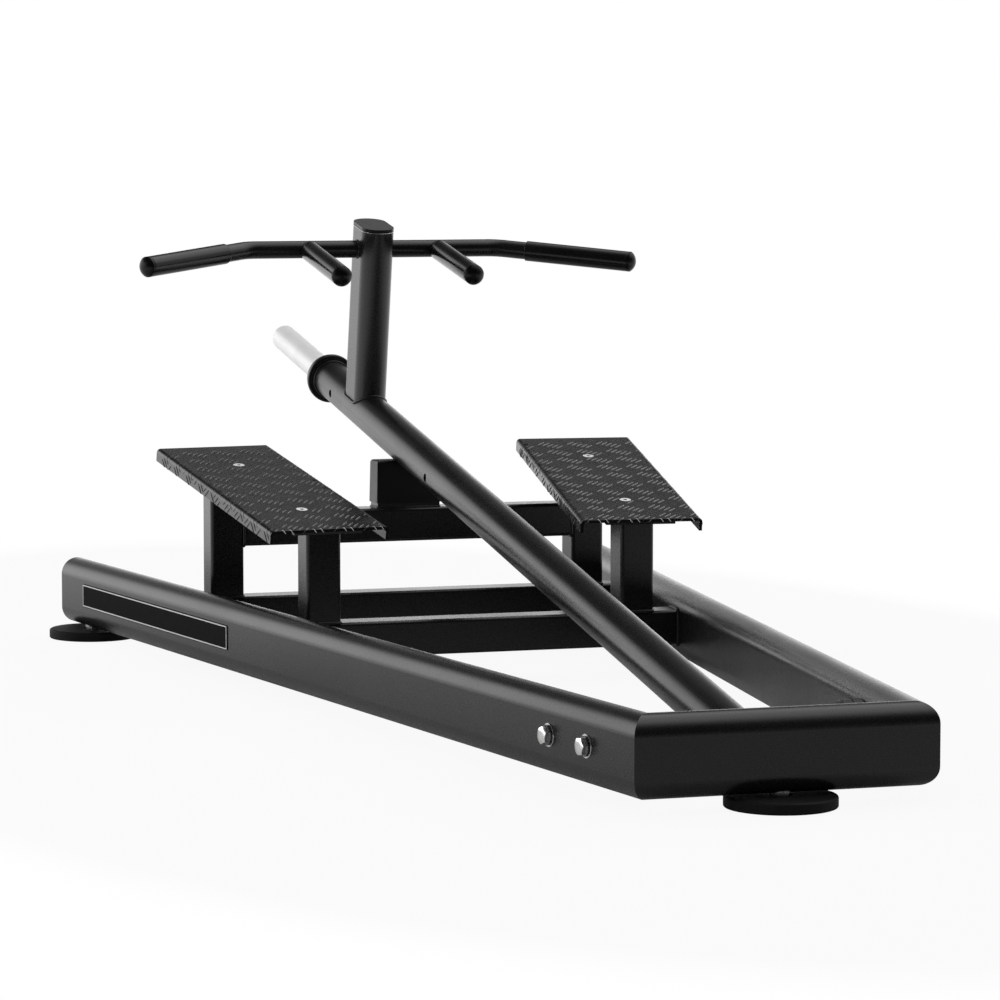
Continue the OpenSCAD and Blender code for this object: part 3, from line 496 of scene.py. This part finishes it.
def dress(name, slot):
    obj = nodes[name]
    material = BY_NODE.get(name, BY_SLOT[slot])
    for ending, other in BY_ENDING.items():
        if name.endswith(ending):
            material = other
    obj.data.materials.clear()
    obj.data.materials.append(material)
    if name not in SOFT_EDGES:
        return
    obj.data.polygons.foreach_set("use_smooth", [True] * len(obj.data.polygons))
    merge = obj.modifiers.new("merge", "WELD")
    merge.merge_threshold = 1e-6
    soften = obj.modifiers.new("soft_edges", "BEVEL")
    soften.width = SOFT_EDGES[name]
    soften.segments = 3
    soften.limit_method = "ANGLE"
    soften.angle_limit = math.radians(38)
    even = obj.modifiers.new("even_shading", "WEIGHTED_NORMAL")
    even.keep_sharp = True


def second_material(name, material, place, chosen):
    """Gives the faces of a CAD node another material where chosen, seen from a frame, is true."""
    obj = nodes[name]
    if material.name not in obj.data.materials:
        obj.data.materials.append(material)
    to_place = place.inverted() @ obj.matrix_world
    for face in obj.data.polygons:
        if chosen(to_place @ face.center):
            face.material_index = 1


for entry in frame["record"]["subparts"]:
    dress(entry["node"], entry["material_slot"])

# Tread plates: a five-bar pattern that runs on over the bent sides

FLAT_HALF = TREAD_W / 2 - TREAD_BEND
ARC = TREAD_BEND * math.pi / 2
SHEET_HALF = FLAT_HALF + ARC + TREAD_FLANGE - TREAD_BEND
NEAR = -TREAD_LEN / 2
FAR = TREAD_LEN / 2
# Share of a bar's height that is left in the bends, and how far it runs down the cut face
PRESSED = 0.25
CUT_REACH = 0.94 * TREAD_T

BAR_LEN = 0.0270
BAR_WIDTH = 0.0044
BAR_HEIGHT = 0.0014
BAR_SINK = 0.00015
BAR_TILT = math.radians(49)
BAR_SPACING = 0.0098
BAR_REACH = BAR_LEN / 2 * math.sin(BAR_TILT)
GROUP_PITCH = 0.0545
# Where the pattern starts on each plate, across and along it
PATTERN_START = {-1: (-0.0016, -0.0175), 1: (0.0258, 0.0073)}
# Share of the height that wear has left of the bars that lean to the right
WORN_DOWN = 0.30
# Clear distances: to the sheet's edges, its far end and the middle of its screws
EDGE_CLEAR = 0.001
FAR_CLEAR = 0.016
SCREW_CLEAR = 0.0165
NICK_GLINT_WIDTH = 0.0012
NICK_GLINT_PROUD = 0.00015
# Width of the painted sheen band on each crest
SHEEN_WIDTH = {-1: 0.0010, 1: 0.0013}
# Painted glint spot on each crest: start and end, from -1 to 1 along the bar, and width
GLINT_SPOT = {-1: (-0.80, -0.66, 0.0009), 1: (0.62, 0.84, 0.0013)}


def on_sheet(u, v, h):
    """Point h above the outer face of the sheet, u across it as if it were unbent, v along it.

    Past the near end it runs on down the cut face; the bends press the pattern flat."""
    side = 1 if u >= 0 else -1
    a = min(abs(u), SHEET_HALF)
    if FLAT_HALF - EDGE_CLEAR < a < FLAT_HALF + ARC:
        h *= PRESSED
    past = NEAR - v
    if past > 0 and a <= FLAT_HALF:
        return Vector((side * a, NEAR - h, -min(past, CUT_REACH)))
    v = max(NEAR, min(FAR, v))
    if a <= FLAT_HALF:
        return Vector((side * a, v, h))
    if a <= FLAT_HALF + ARC:
        t = (a - FLAT_HALF) / TREAD_BEND
        r = TREAD_BEND + h
        return Vector((side * (FLAT_HALF + r * math.sin(t)), v, r * math.cos(t) - TREAD_BEND))
    return Vector((side * (TREAD_W / 2 + h), v, -TREAD_BEND - (a - FLAT_HALF - ARC)))


def on_bar(u, v, angle, along, across, h):
    """Point of the sheet in the directions of a bar whose middle is at u, v."""
    c, s = math.cos(angle), math.sin(angle)
    return on_sheet(u + c * along - s * across, v + s * along + c * across, h)


def raised_bar(u, v, angle, height):
    """One lens-shaped bar of the pattern."""
    rows, cols = 10, 6
    verts = []
    for i in range(rows + 1):
        t = math.sin((2 * i / rows - 1) * math.pi / 2)
        half = BAR_WIDTH / 2 * max(0.0, 1 - t * t) ** 0.6
        for j in range(cols + 1):
            w = 2 * j / cols - 1
            h = height * (1 - t * t) ** 0.5 * (1 - w * w) ** 0.75 - BAR_SINK
            verts.append(on_bar(u, v, angle, t * BAR_LEN / 2, w * half, h))
    return verts, grid_faces(rows, cols)


def crest_glint_band(u, v, angle, start, end, width):
    """Band of painted highlight on the crest of a bar; start and end run from -1 to 1 along it."""
    steps = 6
    verts = []
    for i in range(steps + 1):
        t = start + (end - start) * i / steps
        half = width / 2 * max(0.15, 1 - ((2 * i / steps - 1) ** 4))
        crest = BAR_HEIGHT * math.sqrt(1 - t * t) - 0.00004
        for across, h in ((-half, crest - 0.00020), (0.0, crest), (half, crest - 0.00020)):
            verts.append(on_bar(u, v, angle, t * BAR_LEN / 2, across, h))
    return verts, grid_faces(steps, 2)


def nick_glint_streak(u, v, angle):
    """Painted glint streak on the crest of a sheared bar, over the near end's top edge and down its cut face."""
    slope = abs(math.sin(angle))
    left = BAR_LEN / 2 - (v - NEAR) / slope
    tall = min(0.90 * TREAD_T, left * slope)
    stations = (-0.0024, -0.0010, 0.0, 0.25 * tall, 0.6 * tall, tall)
    verts = []
    for past in stations:
        t = min(1.0, ((v - NEAR) + past) / slope / (BAR_LEN / 2))
        crest = BAR_HEIGHT * math.sqrt(max(0.0, 1 - t * t)) + NICK_GLINT_PROUD
        x = u + (NEAR - past - v) * math.cos(angle) / math.sin(angle)
        for a, h in ((-NICK_GLINT_WIDTH / 2, crest - 0.0004), (0.0, crest), (NICK_GLINT_WIDTH / 2, crest - 0.0004)):
            if past < 0:
                verts.append(Vector((x + a, NEAR - past, h)))
            elif past == 0:
                verts.append(Vector((x + a, NEAR - 0.8 * h, 0.8 * h)))
            else:
                verts.append(Vector((x + a, NEAR - h, -past)))
    return verts, grid_faces(len(stations) - 1, 2)


def has_bar(u, v):
    """False past the sheet's edges, at its far end and round its screws."""
    if abs(u) > SHEET_HALF - EDGE_CLEAR or not NEAR - BAR_REACH + 0.002 <= v <= FAR - FAR_CLEAR:
        return False
    return all(math.hypot(u, v - q) >= SCREW_CLEAR for q in TREAD_SCREWS)


def bar_places(side):
    """Middle and angle of each bar: groups of five, every other group turned by a quarter."""
    across, along = PATTERN_START[side]
    for i in range(-9, 10):
        for j in range(-9, 10):
            for half_step, angle in ((0.0, BAR_TILT), (0.5, -BAR_TILT)):
                group_v = (j + half_step) * GROUP_PITCH + along
                group_u = (i + half_step) * GROUP_PITCH + across - group_v * math.tan(TREAD_SPLAY)
                for k in range(-2, 3):
                    u = group_u - math.sin(angle) * k * BAR_SPACING
                    v = group_v + math.cos(angle) * k * BAR_SPACING
                    if has_bar(u, v):
                        yield u, v, angle


def tread_pattern(side):
    """The bars of one plate, their painted glint streaks and spots, and the painted sheen on their crests."""
    bars, glints, crest_sheens = [], [], []
    for u, v, angle in bar_places(side):
        leans_right = side * angle < 0
        inside = (v - NEAR) / abs(math.sin(angle))
        crossing = u - (v - NEAR) * math.cos(angle) / math.sin(angle)
        low = leans_right and abs(u) < FLAT_HALF
        bars.append(raised_bar(u, v, angle, (WORN_DOWN if low else 1.0) * BAR_HEIGHT))
        sheared = -0.45 * BAR_LEN < inside < 0.42 * BAR_LEN
        # Painted glint streaks where the bars that lean this way are sheared at the near end
        if leans_right and sheared and abs(crossing) < FLAT_HALF - 0.006:
            glints.append(nick_glint_streak(u, v, angle))
        # Painted sheen and glint spots go only on the bars that lean this way, whose sides catch the light
        if not leans_right and abs(u) < FLAT_HALF - 0.002 and inside > 0.0:
            crest_sheens.append(crest_glint_band(u, v, angle, -0.80, 0.80, SHEEN_WIDTH[side]))
            glints.append(crest_glint_band(u, v, angle, *GLINT_SPOT[side]))
    return joined(bars), joined(glints), joined(crest_sheens)


def in_socket(at):
    return at.z < -0.0002 and any(math.hypot(at.x, at.y - q) < SOCKET_R for q in TREAD_SCREWS)


for word, side in SIDES.items():
    place = tread_frame(side)
    bars, glints, crest_sheens = tread_pattern(side)
    piece(word + "_tread_bars", bars, TREAD_COAT, "floor_frame", place, 60)
    # Painted glints and painted crest sheen of the bars
    piece(word + "_tread_painted_glints", glints, GLINT_WHITE, "floor_frame", place)
    piece(word + "_tread_painted_sheen", crest_sheens, CREST_SHEEN, "floor_frame", place)
    # The cut face of the plate's near end and the sockets of its screws get a darker material: painted shade
    second_material(word + "_tread_plate", SHADE_CUT, place, lambda at: at.y < NEAR + 0.0004)
    second_material("tread_screws", SHADE_CUT, place, in_socket)

# Weld beads; each line stands a little off the corner that it fills, less where a bead is thin

OFF = 0.0006
THIN_OFF = 0.0004


def inner_face(y):
    """Where the rails' inner face stands at y, as a distance from the middle."""
    return FRONT_X + (y - FRONT_Y) * math.tan(SPLAY) - RAIL_W / math.cos(SPLAY)


frame_beads = []
for name in ("front_cross_member", "rear_cross_member"):
    low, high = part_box(name)
    middle = (low + high) / 2
    for side in (-1, 1):
        line = []
        for a, b in rounded_square(BOX / 2 + OFF, BOX_R):
            y = middle.y + a
            line.append(Vector((side * (inner_face(y) - OFF), y, middle.z + b)))
        frame_beads.append(bead(line, r=0.0032))

# Foot and head of each post; the head plate lies along the tread plate's underside
under = tread_frame(1) @ Vector((0, 0, -TREAD_T - HEAD_PLATE_T - OFF))
normal = tread_frame(1).to_3x3() @ Vector((0, 0, 1))
for word, side in SIDES.items():
    for row in ("front", "rear"):
        low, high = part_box(f"{row}_{word}_post")
        cx, cy = (low.x + high.x) / 2, (low.y + high.y) / 2
        foot = [Vector((cx + a, cy + b, low.z + OFF)) for a, b in rounded_square(BOX / 2, BOX_R)]
        head = []
        for a, b in rounded_square(BOX / 2 + THIN_OFF, BOX_R):
            x, y = abs(cx) + a, cy + b
            z = under.z - (normal.x * (x - under.x) + normal.y * (y - under.y)) / normal.z
            head.append(Vector((side * x, y, z)))
        frame_beads += [bead(foot, r=0.0028), bead(head, r=0.0026)]

low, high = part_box("upper_beam")
middle = (low + high) / 2
for x in (low.x + OFF, high.x - OFF):
    line = [Vector((x, middle.y + a, middle.z + b)) for a, b in rounded_square(BOX / 2, BOX_R)]
    frame_beads.append(bead(line, r=0.0028))
low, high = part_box("stop_base")
corners = ((low.x, low.y), (high.x, low.y), (high.x, high.y), (low.x, high.y))
line = [Vector((x, y, low.z + THIN_OFF)) for x, y in corners]
frame_beads.append(bead(line, r=0.0022))
piece("frame_welds", joined(frame_beads), WELD_COAT, "floor_frame", sharp=80)


def round_tube(r, a):
    """Height of a round tube's surface at a, off its middle."""
    return math.sqrt(r ** 2 - a * a)


lever = lever_frame()
line = [Vector((x, POST_S + y, round_tube(LEVER_R, x) + OFF))
        for x, y in stadium(POST_W + 2 * OFF, POST_LEN + 2 * OFF)]
lever_beads = [bead(line, r=0.0030)]
for side in (-1, 1):
    line = [Vector((side * (POST_W / 2 + THIN_OFF), POST_S + a, BAR_UP + b))
            for a, b in circle(BAR_R + THIN_OFF)]
    lever_beads.append(bead(line, r=0.0016))
    line = [Vector((side * SIDE_X + a, POST_S - round_tube(BAR_R, b), BAR_UP + b))
            for a, b in circle(SIDE_R + THIN_OFF / 2)]
    lever_beads.append(bead(line, r=0.0020))
    line = [Vector((side * round_tube(LEVER_R, b), a, b)) for a, b in circle(HUB_R + THIN_OFF)]
    lever_beads.append(bead(line, r=0.0030))
line = [Vector((a, LEVER_LEN - OFF, b)) for a, b in circle(LEVER_R + THIN_OFF, 64)]
lever_beads.append(bead(line, r=0.0026))
piece("lever_welds", joined(lever_beads), WELD_COAT, "lever", lever, 80)

# Lighter top of the handle post's cap, painted light where it faces up, while its sides keep the darker tip
# plastic; under it, a bright bead paints the glint on the post's rim
second_material("handle_post_cap", LIT_TOP_PLASTIC, lever, lambda at: at.z > CAP_UP + CAP_TOP)
# Bright steel bead on the post's top rim: a painted glint
glint_rim = [Vector((x, POST_S + y, CAP_UP)) for x, y in stadium(POST_W - THIN_OFF, POST_LEN - THIN_OFF)]
piece("handle_post_rim_glint", bead(glint_rim, r=0.0006), STEEL, "lever", lever, 80)

# Hexagon bolts, nuts and washers of the hinge housings


def around(r, z, steps):
    return [Vector((a, b, z)) for a, b in circle(r, steps)]


def ring_faces(below, above, steps):
    """Faces between two rings of vertices that start at the given numbers."""
    faces = []
    for i in range(steps):
        j = (i + 1) % steps
        faces.append((below + i, below + j, above + j, above + i))
    return faces


def hexagon(corner, height, bore=0.0, steps=72):
    """Hexagon with the turned chamfer that leaves curved edges on its flats."""
    flat = corner * math.cos(math.pi / 6)
    crown = flat * 0.95
    foot, shoulder = [], []
    for i in range(steps):
        t = 2 * math.pi * i / steps
        r = flat / math.cos((t % (math.pi / 3)) - math.pi / 6)
        drop = (r - crown) * math.tan(math.radians(30))
        foot.append(Vector((r * math.cos(t), r * math.sin(t), 0.0)))
        shoulder.append(Vector((r * math.cos(t), r * math.sin(t), height - drop)))
    top = max(bore, crown * 0.35)
    verts = foot + shoulder + around(crown, height, steps) + around(top, height, steps)
    faces = []
    for k in range(3):
        faces += ring_faces(k * steps, (k + 1) * steps, steps)
    if bore:
        base = len(verts)
        verts += around(bore, 0.0, steps)
        faces += ring_faces(3 * steps, base, steps) + ring_faces(base, 0, steps)
    else:
        faces.append(tuple(3 * steps + i for i in range(steps)))
        faces.append(tuple(reversed(range(steps))))
    return verts, faces


def washer(r, bore, t):
    e = min(0.0004, t / 4)
    return lathe([(bore, 0), (r - e, 0), (r, e), (r, t - e), (r - e, t), (bore, t), (bore, 0)])


def spring_washer(r, bore, t):
    """Split ring whose two ends stand a little apart."""
    steps, gap, rise = 44, math.radians(9), 0.0012
    verts, faces = [], []
    for i in range(steps + 1):
        a = gap / 2 + (2 * math.pi - gap) * i / steps
        lift = rise * (i / steps) - rise / 2
        for rr, zz in ((bore, 0), (r, 0), (r, t), (bore, t)):
            verts.append(Vector((rr * math.cos(a), rr * math.sin(a), zz + lift)))
    for i in range(steps):
        for j in range(4):
            a, b = i * 4 + j, i * 4 + (j + 1) % 4
            faces.append((a, b, b + 4, a + 4))
    faces.append((3, 2, 1, 0))
    faces.append(tuple(steps * 4 + k for k in range(4)))
    return verts, faces


def threaded(r, length, pitch=0.002, steps=20):
    """Rod with thread rings, from z = 0 up."""
    root = r - 0.0008
    profile = [(0.0, 0.0), (root, 0.0)]
    for i in range(int(length / pitch)):
        z = i * pitch
        profile += [(root, z + 0.1 * pitch), (r, z + 0.5 * pitch), (r, z + 0.6 * pitch)]
    profile += [(r - 0.001, length - 0.0006), (r - 0.0022, length), (0.0, length)]
    return lathe(profile, steps)


WASHER_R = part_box("housing_washers")[1].z - RAIL_MID
HEAD_R = 1.7 * BOLT_R
HEAD_T = 0.63 * 2 * BOLT_R - 0.0016
NUT_T = 0.8 * 2 * BOLT_R
BORE_R = BOLT_R + 0.0004
# Under a head: a thin washer and the spring washer. Under a nut: a thick washer. The spring washer is dark and
# nearly as wide as the washer, partly its own dark steel and partly painted shade under the head
THIN_T = 0.0014
THICK_T = 0.0025
SPRING_T = 0.0022
SPRING_R = WASHER_R - 0.0022
SPRING_Z = 0.0018
HEAD_Z = 0.0041
# The shank starts inside the ear and ends past the nut
SHANK_BACK = 0.010
SHANK_LEN = THICK_T + NUT_T + 0.004 + SHANK_BACK
BEARING_Y = ((PIVOT.y - FRONT_Y) - (RAIL_W + BEARING_OFF) * math.sin(SPLAY)) / math.cos(SPLAY)
hardware, springs, shanks = [], [], []
for side in (-1, 1):
    for s in (-1, 1):
        bolt_y = BEARING_Y + s * BOLT_GAP / 2
        outer = rail_frame(side) @ shift(0, bolt_y, RAIL_MID) @ turn(math.radians(90), "Y")
        inner = rail_frame(side) @ shift(-RAIL_W - EAR_SEAT, bolt_y, RAIL_MID) @ turn(math.radians(-90), "Y")
        spin = turn(math.radians(17 + 23 * s + 31 * side), "Z")
        hardware += [
            moved(washer(WASHER_R, BORE_R, THIN_T), outer),
            moved(hexagon(HEAD_R, HEAD_T), outer @ shift(0, 0, HEAD_Z) @ spin),
            moved(washer(WASHER_R, BORE_R, THICK_T), inner),
            moved(hexagon(HEAD_R, NUT_T, BOLT_R + 0.0002), inner @ shift(0, 0, THICK_T) @ spin)]
        springs.append(moved(spring_washer(SPRING_R, BOLT_R + 0.0003, SPRING_T),
                             outer @ shift(0, 0, SPRING_Z) @ spin))
        shanks.append(moved(threaded(BOLT_R, SHANK_LEN), inner @ shift(0, 0, -SHANK_BACK)))
bolts = piece("housing_fasteners", joined(hardware), ZINC, "floor_frame", sharp=32)
piece("housing_spring_washers", joined(springs), SHADE_SPRING_STEEL, "floor_frame", sharp=32)
piece("housing_bolt_threads", joined(shanks), ZINC, "floor_frame", sharp=32)
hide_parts("housing_bolts", "housing_washers", "housing_nuts")

# Bare plate: pale border line on the black sheet

BORDER_INSET = 0.0012
BORDER_WIDTH = 0.0020
BORDER_T = 0.00015


def border(half_l, half_h):
    """Thin frame that stands on the plate, in the plane of y and z."""
    outline = []
    for inset in (BORDER_INSET, BORDER_INSET + BORDER_WIDTH):
        a, b = half_l - inset, half_h - inset
        outline += [(-a, -b), (a, -b), (a, b), (-a, b)]
    verts = [Vector((x, y, z)) for x in (BORDER_T, -0.0002) for y, z in outline]
    faces = []
    for i in range(4):
        j = (i + 1) % 4
        faces.append((i, j, 4 + j, 4 + i))
        faces.append((8 + j, 8 + i, 12 + i, 12 + j))
        faces.append((8 + i, 8 + j, j, i))
        faces.append((4 + i, 4 + j, 12 + j, 12 + i))
    return verts, faces


plate_place = rail_frame(-1) @ shift(PLATE_T, PLATE_START + PLATE_LEN / 2, PLATE_MID)
piece("name_plate_border", border(PLATE_LEN / 2, PLATE_H / 2), PLATE_PALE, "floor_frame",
      plate_place)

# Stage: a paper floor that turns plain white away from the machine, so that no horizon shows

FLOOR_HALF = 40.0
floor_mesh = bpy.data.meshes.new("studio_floor")
floor_mesh.from_pydata([(FLOOR_HALF * x, FLOOR_HALF * y, 0) for x, y in ((-1, -1), (1, -1), (1, 1), (-1, 1))],
                       [], [(0, 1, 2, 3)])
floor = bpy.data.objects.new("studio_floor", floor_mesh)
bpy.context.scene.collection.objects.link(floor)

n = new_material("studio_paper")
stretched = n.add("ShaderNodeVectorMath", operation="MULTIPLY")
n.feed(n.coord, stretched.inputs[0])
stretched.inputs[1].default_value = (1.6, 0.8, 0.0)
away = n.add("ShaderNodeVectorMath", operation="LENGTH")
n.feed(stretched.outputs[0], away.inputs[0])
whiteness = n.span(away.outputs["Value"], 0.6, 2.2, 0.0, 1.0, "SMOOTHSTEP")
far_share = n.span(away.outputs["Value"], 0.9, 3.4, 0.0, 1.0, "SMOOTHSTEP")
# Mirrored in the machine, the paper is bright behind it and dim in front of it
along = n.add("ShaderNodeSeparateXYZ")
n.feed(n.coord, along.inputs[0])
behind = n.span(along.outputs["Y"], -3.4, -1.2, 0.06, 1.3, "SMOOTHSTEP")
glow = n.shader("ShaderNodeEmission", Color=(1.0, 1.0, 1.0),
                Strength=n.math("ADD", n.ray_share(1.0, 0.0), n.ray_share(0.0, behind)))
matt = n.shader("ShaderNodeBsdfDiffuse", Color=(0.56, 0.56, 0.56))
glow_share = n.ray_share(n.math("MAXIMUM", whiteness, 0.92), far_share)
floor_mesh.materials.append(n.finish(n.blend(glow_share, matt, glow)))

# World: white to the camera, soft and even as light, and soft boxes for the machine to mirror

scene = bpy.context.scene
scene.world = bpy.data.worlds.new("studio")
n = Nodes(scene.world, "ShaderNodeOutputWorld", "Generated")
heading = n.add("ShaderNodeSeparateXYZ")
n.feed(n.coord, heading.inputs[0])

# Each box: strength, then (axis, low, high, share below, share above) for each of its sides
SOFT_BOXES = (
    # on the left
    (2.0, ("X", -0.46, -0.16, 1, 0), ("Z", 0.38, 0.54, 1, 0), ("Y", -0.45, 0.05, 0, 1)),
    # behind, and low behind
    (1.1, ("X", -0.46, -0.14, 0, 1), ("Z", 0.00, 0.50, 1, 0), ("Y", 0.20, 0.60, 0, 1)),
    (0.9, ("X", -0.30, 0.00, 0, 1), ("Z", 0.08, 0.26, 1, 0), ("Y", 0.55, 0.85, 0, 1)),
    # on the right
    (0.9, ("X", 0.55, 0.90, 0, 1), ("Z", 0.42, 0.60, 1, 0), ("Y", -0.60, -0.10, 0, 1)),
    # overhead
    (1.9, ("X", -0.30, 0.32, 0, 1), ("Z", 0.38, 0.62, 0, 1), ("Y", -0.75, -0.15, 0, 1),
     ("Y", 0.45, 0.78, 1, 0)),
)
mirrored_light = 0.03
for share, *sides in SOFT_BOXES:
    for axis, low, high, below, above in sides:
        side_share = n.span(heading.outputs[axis], low, high, below, above, "SMOOTHSTEP")
        share = n.math("MULTIPLY", share, side_share)
    mirrored_light = n.math("ADD", mirrored_light, share)
soft = n.shader("ShaderNodeBackground", Color=(1.0, 1.0, 1.0), Strength=0.30)
white = n.shader("ShaderNodeBackground", Color=(1.0, 1.0, 1.0), Strength=1.0)
mirrored = n.shader("ShaderNodeBackground", Color=(1.0, 1.0, 1.0), Strength=mirrored_light)
light = n.blend(n.ray_share(0.0, 1.0), soft, mirrored)
n.finish(n.blend(n.ray_share(1.0, 0.0), light, white))


def lamp(name, kind, power, aim):
    """Lamp that shines along a direction and isn't mirrored in the machine."""
    data = bpy.data.lights.new(name, kind)
    data.energy = power
    obj = bpy.data.objects.new(name, data)
    scene.collection.objects.link(obj)
    obj.rotation_euler = Vector(aim).to_track_quat("-Z", "Y").to_euler()
    obj.visible_glossy = False
    return obj


lamp("right_back_lamp", "SUN", 1.3, (-0.72, -0.52, -0.46)).data.angle = math.radians(36)
lamp("top_lamp", "SUN", 1.0, (0.25, -0.15, -0.95)).data.angle = math.radians(75)
LEFT_BOX = Vector((-3.4, 0.6, 1.6))
left_box = lamp("left_box", "AREA", 40, Vector((0, 0.2, 0.3)) - LEFT_BOX)
left_box.location = LEFT_BOX
left_box.data.shape = "RECTANGLE"
left_box.data.size = 2.6
left_box.data.size_y = 1.4

# Camera, as solved from the photograph; the focal length is in widths of the picture
FOCAL = 4.14516
SENSOR = 36.0
camera_data = bpy.data.cameras.new("photo_camera")
camera_data.sensor_width = SENSOR
camera_data.lens = SENSOR * FOCAL
camera_data.clip_end = 200.0
camera = bpy.data.objects.new("photo_camera", camera_data)
scene.collection.objects.link(camera)
camera.location = (-2.13345, FRONT_Y - 5.26984, 0.94552)
camera.rotation_euler = (math.radians(90 - 5.19), 0, math.radians(-18.01))
scene.camera = camera

scene.view_settings.view_transform = "Standard"
